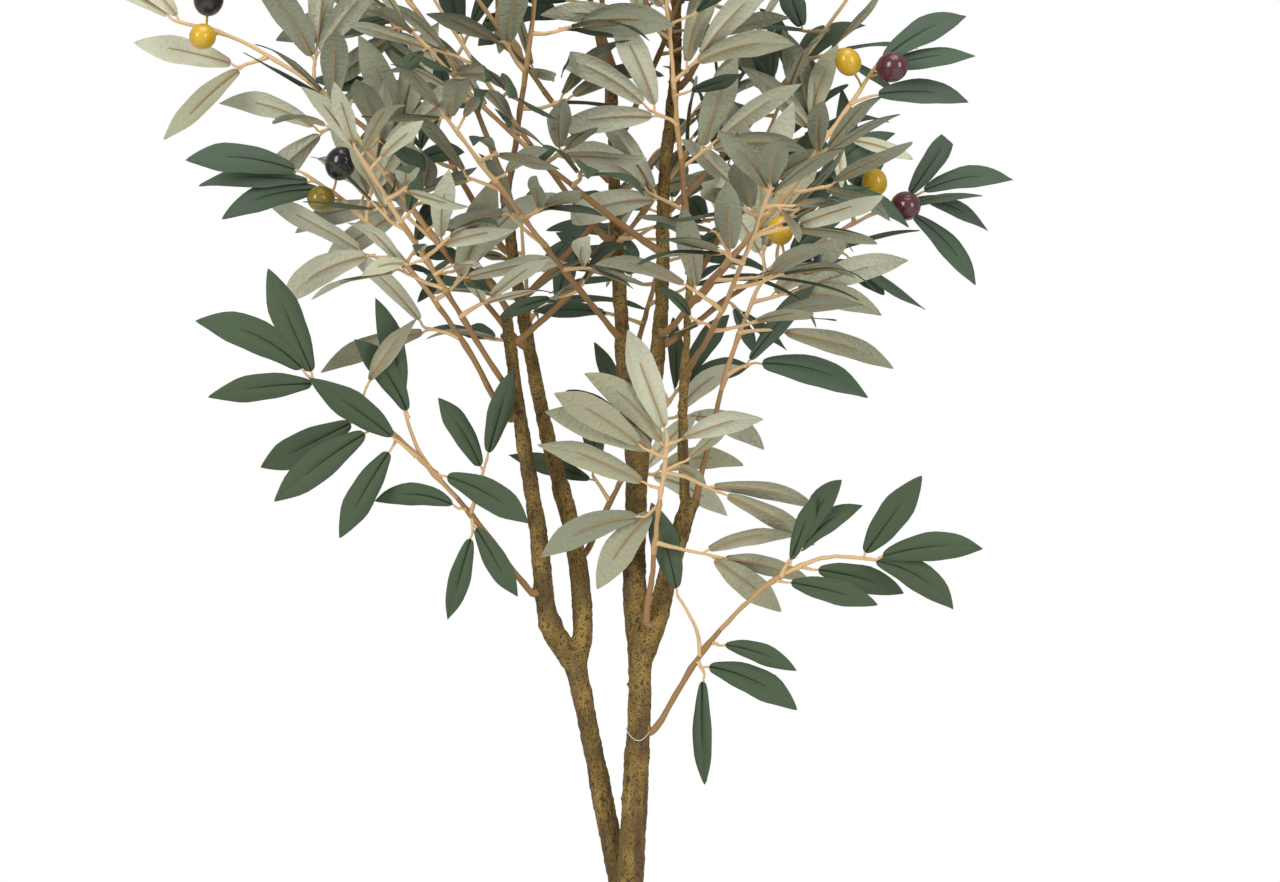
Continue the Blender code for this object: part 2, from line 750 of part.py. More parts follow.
def paint(thing, colour, roughness, metallic=0.0):
    material = bpy.data.materials.new(thing.name)
    material.use_nodes = True
    shader = material.node_tree.nodes["Principled BSDF"]
    shader.inputs["Base Color"].default_value = (*colour, 1.0)
    shader.inputs["Roughness"].default_value = roughness
    shader.inputs["Metallic"].default_value = metallic
    thing.data.materials.clear()
    thing.data.materials.append(material)


def turned(name, profile, home):
    """A closed profile of (radius, height) turned about the pot's axis."""
    mesh = bpy.data.meshes.new(name)
    mesh.from_pydata(
        [(r * MM, 0.0, z * MM) for r, z in profile],
        [(k, k + 1) for k in range(len(profile) - 1)], [],
    )
    thing = mesh_object(name, mesh, home)
    screw = thing.modifiers.new("turn", "SCREW")
    screw.axis = "Z"
    screw.steps = POT_TURN_STEPS
    screw.render_steps = POT_TURN_STEPS
    screw.use_merge_vertices = True
    screw.merge_threshold = 0.00001
    screw.use_normal_calculate = True
    apply_all(thing)
    skin = bmesh.new()
    skin.from_mesh(thing.data)
    bmesh.ops.remove_doubles(skin, verts=skin.verts, dist=1e-6)
    face_out(skin)
    skin.to_mesh(thing.data)
    skin.free()
    thing.data.shade_smooth()
    return thing


def make_pot(home):
    def outer(z):
        return POT_BASE_RADIUS + (POT_TOP_RADIUS - POT_BASE_RADIUS) * z / POT_HEIGHT

    collar = POT_HEIGHT - POT_COLLAR_HEIGHT
    top_out = outer(POT_HEIGHT) + POT_COLLAR_OUT
    profile = (
        (0, POT_HEIGHT * 0 + POT_WALL),
        (outer(POT_WALL) - POT_WALL, POT_WALL),
        (outer(POT_HEIGHT) - POT_WALL, POT_HEIGHT - 1.0),
        (outer(POT_HEIGHT) - POT_WALL + 1.0, POT_HEIGHT),
        (top_out - 1.2, POT_HEIGHT),
        (top_out, POT_HEIGHT - 1.2),
        (outer(collar) + POT_COLLAR_OUT, collar),
        (outer(collar) + 0.2, collar - 1.5),
        (outer(POT_FOOT_CHAMFER), POT_FOOT_CHAMFER),
        (POT_BASE_RADIUS - POT_FOOT_CHAMFER, 0),
        (0, 0),
    )
    pot = turned("pot", profile, home)
    paint(pot, (0.012, 0.012, 0.013), 0.5)

    def inner(z):
        return outer(z) - POT_WALL - GAP - 0.1

    bottom = POT_WALL + GAP
    fill = turned(
        "pot_fill",
        ((0, bottom), (inner(bottom), bottom), (inner(FILL_TOP) - 1.5, FILL_TOP - 1.5),
         (inner(FILL_TOP) - 3.0, FILL_TOP), (0, FILL_TOP)),
        home,
    )
    paint(fill, (0.16, 0.15, 0.14), 0.9)


def make_limbs(home, spare):
    for name in LIMBS:
        line, radii, sides = limb_shape(name)
        limb = rod(name, line, radii, sides, home)
        cutters = []
        for other in FORKS.get(name, ()):
            line, radii, sides = limb_shape(other, FORK_GAP)
            cutters.append(rod("clear_" + other, line, radii, sides, spare))
        if cutters:
            cut_back(limb, cutters)
        dropped, loose = one_body(limb)
        print("limb", name, "triangles", sum(len(p.vertices) - 2 for p in limb.data.polygons),
              "dropped", dropped, "open", loose)
        limb.data.shade_smooth()
        paint(limb, (0.19, 0.14, 0.06), 0.85)


def leaf_solid(name, leaf, home):
    """An eight-faced leaf: a small three-cornered root, a keel and a pointed tip."""
    skin = bmesh.new()
    bmesh.ops.create_uvsphere(skin, u_segments=4, v_segments=2, radius=1.0)
    corners = blade_points(leaf, 0.0, 0.0)
    for vert in skin.verts:
        x, y, z = vert.co
        if abs(x) > 0.5:
            vert.co = corners[0] if x > 0 else corners[5]
        elif abs(y) > 0.5:
            vert.co = corners[1] if y > 0 else corners[4]
        else:
            vert.co = corners[2] if z > 0 else corners[3]
    face_out(skin)
    mesh = bpy.data.meshes.new(name)
    skin.to_mesh(mesh)
    skin.free()
    return mesh_object(name, mesh, home)


def olive_solid(name, centre, radius, out, home):
    skin = bmesh.new()
    turn = out.to_track_quat("Z", "Y").to_matrix().to_4x4()
    shape = Matrix.Translation(centre) @ turn @ Matrix.Diagonal((1, 1, 1.12, 1))
    bmesh.ops.create_uvsphere(skin, u_segments=6, v_segments=4, radius=radius, matrix=shape)
    bmesh.ops.triangulate(skin, faces=skin.faces)
    mesh = bpy.data.meshes.new(name)
    skin.to_mesh(mesh)
    skin.free()
    return mesh_object(name, mesh, home)


def fuse(name, parts, home, spare):
    """One solid from a spray's rods, leaves and olives."""
    line, radii, leaf = parts["rods"][0]
    stem = rod(name, line, radii, 3, home, leaf)
    union = bpy.data.collections.new(name + "_parts")
    spare.children.link(union)
    for k, (twig, thin, leaf) in enumerate(parts["rods"][1:]):
        rod(f"{name}_twig{k}", twig, thin, 3, union, leaf)
    for k, leaf in enumerate(parts["leaves"]):
        leaf_solid(f"{name}_leaf{k}", leaf, union)
    for k, (centre, radius, out, _) in enumerate(parts["olives"]):
        olive_solid(f"{name}_olive{k}", centre, radius, out, union)
    plain = stem.data.copy()
    for solver in ("EXACT", "MANIFOLD"):
        stem.data = plain.copy()
        step = stem.modifiers.new("fuse", "BOOLEAN")
        step.operation = "UNION"
        step.operand_type = "COLLECTION"
        step.collection = union
        step.solver = solver
        if solver == "EXACT":
            step.use_self = True
        apply_all(stem)
        dropped, loose = one_body(stem)
        if dropped == 0 and loose == 0:
            break
        print("  ", name, solver, "dropped", dropped, "open", loose)
    for thing in list(union.objects):
        bpy.data.objects.remove(thing)
    bpy.data.collections.remove(union)
    return stem


for old in list(bpy.data.objects):
    bpy.data.objects.remove(old)
tree = bpy.data.collections.new("potted_olive_tree")
bpy.context.scene.collection.children.link(tree)
spare = bpy.data.collections.new("cutters")
bpy.context.scene.collection.children.link(spare)

section = bpy.data.curves.new("three_sided", "CURVE")
section.dimensions = "2D"
ring = section.splines.new("POLY")
ring.points.add(2)
for k, place in enumerate(ring.points):
    place.co = (math.cos(2 * math.pi * k / 3), math.sin(2 * math.pi * k / 3), 0, 1)
ring.use_cyclic_u = True
three_sided = mesh_object("three_sided", section, spare)

make_pot(tree)
make_limbs(tree, spare)
limb_trees = {name: tree_of(bpy.data.objects[name]) for name in LIMBS}
crown = all_sprays(limb_trees)
total = 0
for name, parts in crown.items():
    spray = fuse(name, parts, tree, spare)
    shade = 0.85 + 0.3 * ((sum(map(ord, name)) % 7) / 6)
    paint(spray, (0.072 * shade, 0.098 * shade, 0.062 * shade), 0.75)
    total += len(every_leaf(parts))
    print("spray", name, "leaves", len(every_leaf(parts)), "olives", len(parts["olives"]),
          "triangles", sum(len(p.vertices) - 2 for p in spray.data.polygons))
bpy.data.objects.remove(three_sided)
print("sprays", len(crown), "leaves", total, "triangles", sum(
    len(p.vertices) - 2 for thing in tree.objects for p in thing.data.polygons))
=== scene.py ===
"""The looks of the artificial olive tree in its nursery pot.

The limbs get a skin with the bark's relief.  The crown grows again by the
rule and the tables of the CAD source, is carried on to finer twigs, and is
drawn as fabric leaves with wire ribs, stalks, twigs, stems and olives.
Lengths in the tables are millimetres.
"""
import random
from collections import namedtuple
from math import copysign, cos, exp, hypot, pi, radians, sin

import bmesh
import bpy
import numpy as np
from mathutils import Matrix, Vector, noise
from mathutils.bvhtree import BVHTree


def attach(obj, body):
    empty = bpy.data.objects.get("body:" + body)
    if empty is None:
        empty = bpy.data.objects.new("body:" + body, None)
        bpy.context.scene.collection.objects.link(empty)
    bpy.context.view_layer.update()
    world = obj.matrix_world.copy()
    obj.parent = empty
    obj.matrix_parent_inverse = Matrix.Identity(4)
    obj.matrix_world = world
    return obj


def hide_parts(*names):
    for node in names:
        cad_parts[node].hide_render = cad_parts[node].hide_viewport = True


MM = 0.001
GAP = 0.3
SEAT_GAP = 0.42
SEED = 20
UP = Vector((0, 0, 1))
FRONT = Vector((0, -1, 0))

# Pot and its weighted filling
POT_HEIGHT = 150.0
POT_BASE_RADIUS = 65.0
POT_TOP_RADIUS = 84.0
POT_WALL = 2.6
POT_COLLAR_HEIGHT = 20.0
POT_COLLAR_OUT = 3.0
POT_FOOT_CHAMFER = 3.0
FILL_TOP = 130.0

# Whole tree
TREE_TOP = 1500.0
CROWN_MIDDLE = 1120.0
CROWN_HALF_HEIGHT = 380.0
CROWN_RADIUS = 395.0
LINE_STEPS = 2
FOOT_CUT = 2.0
LIMB_C_STEM_ASIDE = 3.4

# Leaves, twigs and fruit
LEAF_LONG = 74.0
LEAF_SHORT = 58.0
LEAF_SLENDER = 0.28
LEAF_THICK = 1.5
LEAF_ROOT_WIDE = 1.3
LEAF_ROOT_THICK = 1.0
LEAF_WIDEST_AT = 0.62
LEAF_STEP = 4.5
LEAF_SAG = 0.30
LEAF_CURL = 0.10
LEAF_LIFT = (0.15, 0.80)
LEAF_STACK = 0.09
SHOWN_PLAY = 0.7
TWIG_RADIUS = 1.9
TWIG_TIP_RADIUS = 1.6
STEM_RADIUS = 3.0
STEM_TIP_RADIUS = 2.0
OLIVE_RADIUS = 12.0
OLIVE_STALK = 15.0
OLIVE_GRADES = (1.0, 0.86)
CLEAR = 1.0

# name: (end radii, centre line)
LIMBS = {
    "trunk_right": ((9.6, 8.2), (
        (-15, -13, 130.3), (-14, -13, 200), (-6, -13, 400), (2, -11, 560), (6, -9, 655),
        (2, -7, 720), (4, -6, 824))),
    "trunk_left": ((9.0, 7.4), (
        (22, 14, 130.3), (21, 14, 200), (7, 14, 400), (-22, 12, 560), (-45, 10, 672))),
    "limb_a": ((8.4, 4.4), (
        (-45, 10, 664), (-63, 4, 697), (-70, -8, 760), (-83, -14, 842), (-94, -16, 925))),
    "limb_b": ((7.4, 4.2), (
        (-42, 10, 662), (-37, 14, 692), (-44, 20, 755), (-65, 22, 838), (-86, 20, 945),
        (-97, 22, 1025))),
    "limb_c": ((8.2, 7.0), ((5, -9, 662), (17, -13, 690), (29, -15, 737), (44, -14, 786))),
    "limb_d": ((3.4, 2.9), ((39.5, -13, 780), (38, -12, 840), (40, -14, 890), (43.5, -18, 957))),
    "limb_e": ((6.6, 4.0), (
        (3, -6, 816), (-3, 0, 850), (-9, 8, 935), (-13, 18, 1010), (-15, 26, 1110))),
    "limb_f": ((6.4, 3.6), (
        (5, -6, 816), (14, -12, 858), (22, -16, 930), (24, -14, 1020), (33, -8, 1120),
        (30, 0, 1230))),
}
# How far a trunk's radius flares at its foot and at its fork, and how far along that reaches
FLARES = {"trunk_right": (5.0, 2.2), "trunk_left": (5.0, 3.0)}
FOOT_FLARE_REACH = 24
FORK_FLARE_REACH = 22

# Side twigs of a spray: (place on the stem 0-1, turn from the stem in degrees,
# reach, leaves, spread of the leaves in degrees, length of its leaves as a share
# of the spray's, less than 0 where their undersides look to the spray's front).
# At place 1 the leaves stand on the stem's own end.
# name: (limb, height or None for its tip, tip of the stem, rise of its middle,
#        length of its leaves, where its olives hang or None, twigs)
SHOWN = {
    "spray_low_left": ("limb_a", 720, (-236, -70, 876), 19, 90, None, (
        (1.0, 0, 0, 3, 32, 0.94), (0.33, -58, 46, 3, 44, 0.76), (0.35, 46, 3, 1, 0, 0.66),
        (0.32, 140, 3, 2, 22, 0.76), (0.51, -160, 3, 1, 0, 0.82), (0.51, -22, 54, 2, 13, 0.84),
        (0.58, 4, 20, 1, 0, 0.9), (0.66, 94, 6, 1, 0, 0.82), (0.735, 74, 5, 1, 0, 0.97),
        (0.785, 74, 6, 1, 0, 0.94))),
    "spray_left": ("limb_a", 850, (-241, -50, 1026), 24, 83, 0.9, (
        (0.3, 40, 26, 2, 30, -1), (0.44, -84, 28, 3, 30, -1), (0.62, 52, 22, 2, 26, -1),
        (0.76, -54, 22, 3, 28, -1), (1.0, 24, 0, 3, 11, 1))),
    "spray_upper_left": ("limb_a", None, (-340, -25, 1142), 42, 80, 0.93, (
        (0.3, 62, 26, 3, 36, -1), (0.42, -58, 26, 3, 34, -1), (0.54, 56, 26, 2, 30, -1),
        (0.66, -54, 26, 3, 36, -1), (0.78, 50, 24, 2, 30, 1), (0.89, -48, 20, 2, 28, -1),
        (1.0, -4, 0, 3, 30, 1))),
    "spray_top_left": ("limb_b", None, (-216, 60, 1193), 36, 80, None, (
        (0.3, 60, 26, 3, 36, -1), (0.46, -58, 26, 3, 36, 1), (0.62, 54, 26, 3, 36, -1),
        (0.78, -50, 24, 3, 36, -1), (1.0, 0, 0, 3, 36, -1))),
    "spray_front": ("limb_c", 694, (26, -78, 832), 0, 91, None, (
        (0.45, -104, 56, 3, 22, -0.8), (0.65, 142, 8, 2, 14, -0.92), (0.73, 80, 8, 1, 0, -0.92),
        (0.82, -110, 42, 2, 8, -0.92), (0.9, 70, 8, 2, 11, -0.98), (0.96, -58, 8, 1, 0, -0.74),
        (1.0, 37, 0, 2, 12, -0.92))),
    "spray_low_right": ("trunk_right", 616, (178, -60, 742), 42, 86, None, (
        (0.36, -70, 5, 1, 0, 0.74), (0.28, -114, 4, 2, 32, 0.96), (0.3, 60, 46, 1, 0, 0.88),
        (0.66, -50, 3, 1, 0, 0.8), (0.76, -42, 3, 1, 0, 0.82), (0.68, 16, 28, 3, 18, 0.74),
        (1.0, 9, 0, 3, 43, 0.9))),
    "spray_back": ("limb_b", 745, (38, 78, 872), 10, 66, None, (
        (0.3, 58, 24, 2, 34, 1), (0.44, -56, 24, 3, 34, -1), (0.6, 54, 22, 3, 34, 1),
        (0.78, -50, 20, 2, 34, -1), (1.0, 0, 0, 3, 34, 1))),
    "spray_right": ("limb_c", None, (125, -34, 967), 50, 84, 0.98, (
        (0.46, -48, 20, 2, 34, 1), (0.62, -62, 26, 2, 24, -1), (0.74, -52, 30, 3, 20, -1),
        (0.84, 44, 24, 3, 34, -1), (1.0, -18, 0, 3, 26, 1))),
    "spray_upper_right": ("limb_d", 936, (184, 6, 1112), -6, 76, 0.95, (
        (0.34, 58, 26, 3, 36, -1), (0.5, -52, 24, 2, 30, 1), (0.66, 48, 24, 3, 30, -1),
        (0.84, -34, 18, 2, 22, 1), (1.0, -26, 0, 3, 24, 1))),
    "spray_far_right": ("limb_f", 905, (218, 70, 1018), 10, 72, 0.9, (
        (0.46, 52, 24, 2, 30, 1), (0.6, -50, 22, 2, 26, 1), (0.76, 64, 22, 3, 30, 1),
        (0.9, -44, 12, 2, 24, 1), (1.0, -14, 0, 3, 26, 1))),
    "spray_centre": ("limb_d", None, (25, -62, 1153), 0, 80, None, (
        (0.22, 60, 26, 3, 34, -1), (0.38, -58, 26, 3, 34, -1), (0.54, 56, 26, 3, 34, -1),
        (0.7, -54, 24, 3, 34, -1), (0.86, 50, 22, 2, 30, -1), (1.0, 0, 0, 3, 34, -1))),
    "spray_top_e": ("limb_e", None, (-100, 34, 1340), 10, 80, 0.9, (
        (0.28, 60, 26, 3, 36, 1), (0.42, -58, 26, 3, 36, -1), (0.56, 56, 26, 3, 36, 1),
        (0.72, -54, 24, 3, 36, -1), (0.86, 50, 20, 2, 30, 1), (1.0, 0, 0, 3, 36, -1))),
    "spray_top_f": ("limb_f", None, (18, 6, 1416), 0, 80, None, (
        (0.24, 60, 26, 3, 36, -1), (0.42, -58, 26, 3, 36, 1), (0.6, 56, 24, 3, 36, -1),
        (0.78, -54, 22, 2, 34, -1), (1.0, 0, 0, 3, 34, -1))),
}
# The rest of the crown: sprays that climb each limb, turning as they go
# limb: (lowest, highest, sprays, first heading, lowest and steepest climb in degrees)
RINGS = {
    "limb_b": (870, 1012, 5, 95, (36, 62)),
    "limb_a": (872, 905, 2, 250, (44, 52)),
    "limb_d": (880, 946, 2, 285, (34, 44)),
    "limb_e": (885, 1104, 10, 80, (32, 66)),
    "limb_f": (912, 1222, 11, 300, (32, 68)),
}
TURN = 137.5
TWIG_EVERY = 40.0


def point(values):
    """A place in metres from millimetres."""
    return Vector(values) * MM


def mix(a, b, t):
    """The value at t on the way from a to b."""
    return a + (b - a) * t


def turned(vector, degrees, axis):
    """The vector turned about the axis."""
    return Matrix.Rotation(radians(degrees), 3, axis) @ vector


def smooth(points, steps):
    """A Catmull-Rom line through the points, with this many parts a span."""
    ends = [points[0] * 2 - points[1]] + list(points) + [points[-1] * 2 - points[-2]]
    line = []
    for a, b, c, d in zip(ends, ends[1:], ends[2:], ends[3:]):
        for k in range(steps):
            t = k / steps
            line.append(
                (b * 2 + (c - a) * t + (a * 2 - b * 5 + c * 4 - d) * t * t
                 + (b * 3 - a - c * 3 + d) * t * t * t) * 0.5
            )
    line.append(points[-1].copy())
    return line


def lengths(line):
    """How far along the line each of its points lies."""
    total = [0.0]
    for a, b in zip(line, line[1:]):
        total.append(total[-1] + (b - a).length)
    return total


def along(line, t):
    """The place and the heading at this share of the line's length."""
    marks = lengths(line)
    want = max(0.0, min(1.0, t)) * marks[-1]
    for a, b, low, high in zip(line, line[1:], marks, marks[1:]):
        if want <= high or b is line[-1]:
            part = (want - low) / max(high - low, 1e-9)
            return a.lerp(b, min(part, 1.0)), (b - a).normalized()
    return line[-1].copy(), (line[-1] - line[-2]).normalized()


def across(direction, wanted):
    """wanted, made square to direction."""
    flat = wanted - direction * wanted.dot(direction)
    if flat.length < 1e-6:
        flat = direction.orthogonal()
    return flat.normalized()


def limb_line(name):
    """The middle line of a limb's solid."""
    line = smooth([point(p) for p in LIMBS[name][1]], LINE_STEPS)
    if name.startswith("trunk"):
        line.insert(1, line[0] + UP * FOOT_CUT * MM)
    return line


# The rule by which the crown grows


def swings(rng, count):
    """This many random shares from -1 to 1."""
    return [rng.uniform(-1, 1) for _ in range(count)]


Leaf = namedtuple("Leaf", "root along normal length width bow")
Spray = namedtuple("Spray", "rods leaves olives")

BOX_FACES = ((0, 1, 2, 3), (7, 6, 5, 4), (0, 1, 5, 4), (1, 2, 6, 5), (2, 3, 7, 6), (3, 0, 4, 7))
ROOM_FACES = BOX_FACES[:1] + BOX_FACES[2:] + tuple(
    tuple(k + 4 for k in face) for face in BOX_FACES[1:])
BLADE_FACES = (
    (0, 1, 2), (0, 3, 1), (0, 2, 4), (0, 4, 3), (5, 3, 4), (5, 1, 3), (5, 2, 1), (5, 4, 2),
)


def joined(hulls):
    """Many hulls, each its corners and faces, as one."""
    corners = []
    faces = []
    for more, sides in hulls:
        first = len(corners)
        corners += more
        faces += [tuple(first + k for k in side) for side in sides]
    return corners, faces


def rod_hull(line, radii, extra):
    """A plain four-sided rod, for testing."""
    hulls = []
    for a, b, ra, rb in zip(line, line[1:], radii, radii[1:]):
        heading = (b - a).normalized()
        u = heading.orthogonal().normalized()
        v = heading.cross(u)
        outs = [u * cos(pi / 2 * k) + v * sin(pi / 2 * k) for k in range(4)]
        hulls.append(([end + out * (radius * 1.41 + extra)
                       for end, radius in ((a, ra), (b, rb)) for out in outs], BOX_FACES))
    return joined(hulls)


def leaf_spots(leaf, places):
    """Places by a leaf: (station, further along, aside, up), which follow its bow."""
    side = leaf.normal.cross(leaf.along)
    return [leaf.root + leaf.along * (station * leaf.length + further) + side * aside
            + leaf.normal * up + leaf.bow * (station ** 2 - station)
            for station, further, aside, up in places]


def blade_hull(leaf, start, extra):
    """A leaf as three corners at its root, one each side at its widest, and the tip."""
    wide = max(LEAF_ROOT_WIDE * MM, start * leaf.width * 1.5) / 2 + extra
    deep = LEAF_ROOT_THICK * MM / 2 + extra
    broad = leaf.width / 2 + extra
    keel = LEAF_THICK * MM - LEAF_ROOT_THICK * MM / 2 + extra
    return leaf_spots(leaf, (
        (start, 0, 0, deep), (start, 0, wide, -deep), (start, 0, -wide, -deep),
        (LEAF_WIDEST_AT, 0, broad, keel), (LEAF_WIDEST_AT, 0, -broad, keel), (1, extra, 0, 0),
    )), BLADE_FACES


def blade_room(leaf, extra):
    """A four-sided hull with this much room on every side of a leaf, for testing."""
    deep = LEAF_ROOT_THICK * MM / 2 + extra
    keel = LEAF_THICK * MM - LEAF_ROOT_THICK * MM / 2 + extra
    return leaf_spots(leaf, [
        (station, further, aside, up)
        for station, further, wide, high in (
            (0, -extra, LEAF_ROOT_WIDE * MM / 2 + extra, deep),
            (LEAF_WIDEST_AT, 0, leaf.width / 2 + extra, keel),
            (1, extra, extra, deep),
        )
        for aside, up in ((wide, high), (-wide, high), (-wide, -deep), (wide, -deep))
    ]), ROOM_FACES


def ball_hull(centre, radius):
    """A plain many-sided ball that holds an olive, for testing."""
    corners = [centre + UP * radius * 1.25, centre - UP * radius * 1.25]
    faces = []
    for k in range(8):
        out = Vector((cos(pi / 4 * k), sin(pi / 4 * k), 0)) * radius * 1.15
        corners += [centre + out + UP * radius * 0.55, centre + out - UP * radius * 0.55]
        a, b = 2 + 2 * k, 2 + 2 * ((k + 1) % 8)
        faces += [(0, a, b), (1, b + 1, a + 1), (a, a + 1, b + 1, b)]
    return corners, faces


def search_tree(hull):
    """A hull, its corners and faces, made ready for tests."""
    return BVHTree.FromPolygons(*hull)


def touches(hull, trees):
    tree = search_tree(hull)
    return any(tree.overlap(other) for other in trees)


def new_leaf(root, way, normal, length, broad, droop, curl):
    """A leaf from its root, heading, upper side, size, and how it sags and curls."""
    side = normal.cross(way)
    sag = side * -side.z * LEAF_SAG * (1 + 0.4 * droop)
    return Leaf(root, way, normal, length, length * LEAF_SLENDER * broad,
                (sag - normal * LEAF_CURL * (1 + curl)) * length)


def grow_leaf(root, heading, front, size, play, rng, placed, own):
    """One leaf, tried at a few rolls and leans, or None where it has no room."""
    tries = [swings(rng, 5) for _ in range(6)]
    for k, (a, b, c, d, e) in enumerate(tries):
        loose = play * (1 + 0.4 * k)
        way = turned(heading, 8 * a * loose, front)
        way = (way + front * 0.18 * b * loose).normalized()
        normal = turned(across(way, front), 26 * c * loose, way)
        leaf = new_leaf(root, way, normal, size * (1 + 0.08 * d) * MM, 1 + 0.08 * e, e, c)
        hull = blade_room(leaf, CLEAR * MM)
        if max(p.z for p in hull[0]) > TREE_TOP * MM or touches(hull, placed):
            continue
        hull = blade_hull(leaf, 0.09, 0.1 * MM)
        if not touches(hull, own):
            own.append(search_tree(hull))
            return leaf
    return None


def hang_olives(base, heading, front, placed, own):
    """One or two olives on their stalks, where they have room."""
    for k, grade in enumerate(OLIVE_GRADES):
        aside = across(heading, front).cross(heading) * (0.75 if k else -0.7)
        out = (Vector((0, -0.6, 0.6)) + aside).normalized()
        radius = OLIVE_RADIUS * grade * MM
        foot = base - heading * 9 * k * MM
        stalk = [foot, foot + out * OLIVE_STALK * MM]
        centre = stalk[-1] + out * radius * 0.8
        if not touches(ball_hull(centre, radius + CLEAR * MM), placed + own):
            own.append(search_tree(ball_hull(centre, radius)))
            yield (stalk, [TWIG_TIP_RADIUS * MM] * 2, None), (centre, radius, out, k)


def grow_spray(line, front, twigs, olives, size, play, rng, placed):
    """Everything on one stem: rods, leaves and olives that have room."""
    marks = lengths(line)
    radii = [mix(STEM_RADIUS, STEM_TIP_RADIUS, mark / marks[-1]) * MM for mark in marks]
    own = [search_tree(rod_hull(line, radii, 0.0))]
    fruit = [] if olives is None else list(hang_olives(*along(line, olives), front, placed, own))
    rods = [stalk for stalk, _ in fruit]
    leaves = []
    stem_leaf = None
    high = min(1.0, max(0.0, (line[-1].z / MM - 880) / 120))
    lift = UP * mix(*LEAF_LIFT, high)
    for place, turn, reach, count, spread, share in twigs:
        base, heading = along(line, place)
        face = across(heading, front)
        lean = rng.uniform(-0.30, 0.30)
        grade = rng.uniform(0.88, 1.10)
        turn += rng.uniform(-44, 44) * (play - SHOWN_PLAY)
        go = turned(heading, turn, face)
        step = max(LEAF_STEP, 15 - 0.4 * spread)
        free = True
        carrier = line
        if reach:
            go = (go + face * lean).normalized()
            reach = max(reach * grade, step * (count - 1) + 5)
            carrier = [base, base + go * reach * MM]
            thin = [TWIG_RADIUS * MM, TWIG_TIP_RADIUS * MM]
            free = not touches(rod_hull(carrier, thin, CLEAR * MM), placed)
        far = lengths(carrier)[-1] / MM
        grown = []
        end_leaf = None
        room = placed if free else []
        seen = list(own)
        order = sorted(range(count), key=lambda k: abs(2 * k - count + 1))
        for rank, k in enumerate(order):
            back = step * rank + (1.0 if rank else 0.0)
            foot, end = along(carrier, 1 - back / far)
            if not reach:
                end = go
            face_end = across(end, face)
            swing = spread * (2 * k / (count - 1) - 1) if count > 1 else 0.0
            way = turned(end, swing, face_end)
            way = (way + face_end * LEAF_STACK * (k - (count - 1) / 2)).normalized()
            upper = face_end * copysign(1.0, share) + lift
            long = size * abs(share) * (1.04 if rank == 0 else 1.0)
            leaf = grow_leaf(foot, way, upper, long, play, rng, room, seen)
            if leaf and free:
                if rank == 0:
                    end_leaf = leaf
                else:
                    grown.append(leaf)
        if not free or not (grown or end_leaf):
            continue
        leaves += grown
        own = seen
        if reach:
            rods.append((carrier, thin, end_leaf))
            own.append(search_tree(rod_hull(carrier, thin, 0.0)))
        else:
            stem_leaf = end_leaf
    rods.insert(0, (line, radii, stem_leaf))
    return Spray(rods, leaves, [olive for _, olive in fruit])


def spray_tree(parts):
    """What later sprays must keep clear of."""
    hulls = [rod_hull(line, radii, 0.0) for line, radii, _ in parts.rods]
    hulls += [blade_hull(leaf, 0.0, 0.0) for leaf in every_leaf(parts)]
    hulls += [ball_hull(centre, radius) for centre, radius, _, _ in parts.olives]
    return search_tree(joined(hulls))


def every_leaf(parts):
    """The leaves that end a rod and those that stand on one."""
    return [leaf for _, _, leaf in parts.rods if leaf] + parts.leaves


def plain_twigs(length):
    """Twigs by the rule: one each TWIG_EVERY, turned left and right in turn."""
    count = max(3, round(length / TWIG_EVERY / MM))
    twigs = []
    for k in range(1, count):
        place = 0.20 + 0.72 * k / count
        turn = (64 if k % 2 else -60) + 5 * (k % 3)
        leaves = 2 if k % 3 == 2 else 3
        twigs.append((place, turn, 40 - 16 * place, leaves, 32, 1))
    twigs.append((1.0, 0, 0, 3, 35, 1))
    return twigs


def crown_reach(start, way):
    """How far it is from start along way to the crown's outline."""
    reach = 0.0
    inside = True
    while inside:
        reach += 5 * MM
        place = start + way * reach
        high = (place.z / MM - CROWN_MIDDLE) / CROWN_HALF_HEIGHT
        out = hypot(place.x, place.y) / MM / CROWN_RADIUS
        inside = high * high + out * out < 1
    return reach


def seat(limb, height, outward, trees):
    """Where a stem meets its limb, GAP clear of the bark, and the way it leaves."""
    line = limb_line(limb)
    if height is None:
        way = (line[-1] - line[-2]).normalized()
        place = line[-1] + way * GAP * MM
        if limb == "limb_c":
            place += across(way, Vector((1, 0.2, 0))) * LIMB_C_STEM_ASIDE * MM
        return place, way
    for a, b in zip(line, line[1:]):
        if a.z <= height * MM <= b.z:
            axis = a.lerp(b, (height * MM - a.z) / (b.z - a.z))
            break
    out = across((b - a).normalized(), outward)
    hit, way, _, _ = trees[limb].ray_cast(axis + out * 60 * MM, -out)
    return hit + way * SEAT_GAP * MM, way


def stem_line(place, way, tip, rise, parts):
    """A stem from its seat to its tip, square to the bark at first."""
    lift = place + way * 5 * MM
    bend = (lift + tip) / 2 + Vector((0, 0, 2 * rise * MM))
    line = [place]
    for k in range(parts + 1):
        t = k / parts
        line.append(lift * (1 - t) ** 2 + bend * 2 * t * (1 - t) + tip * t * t)
    return line


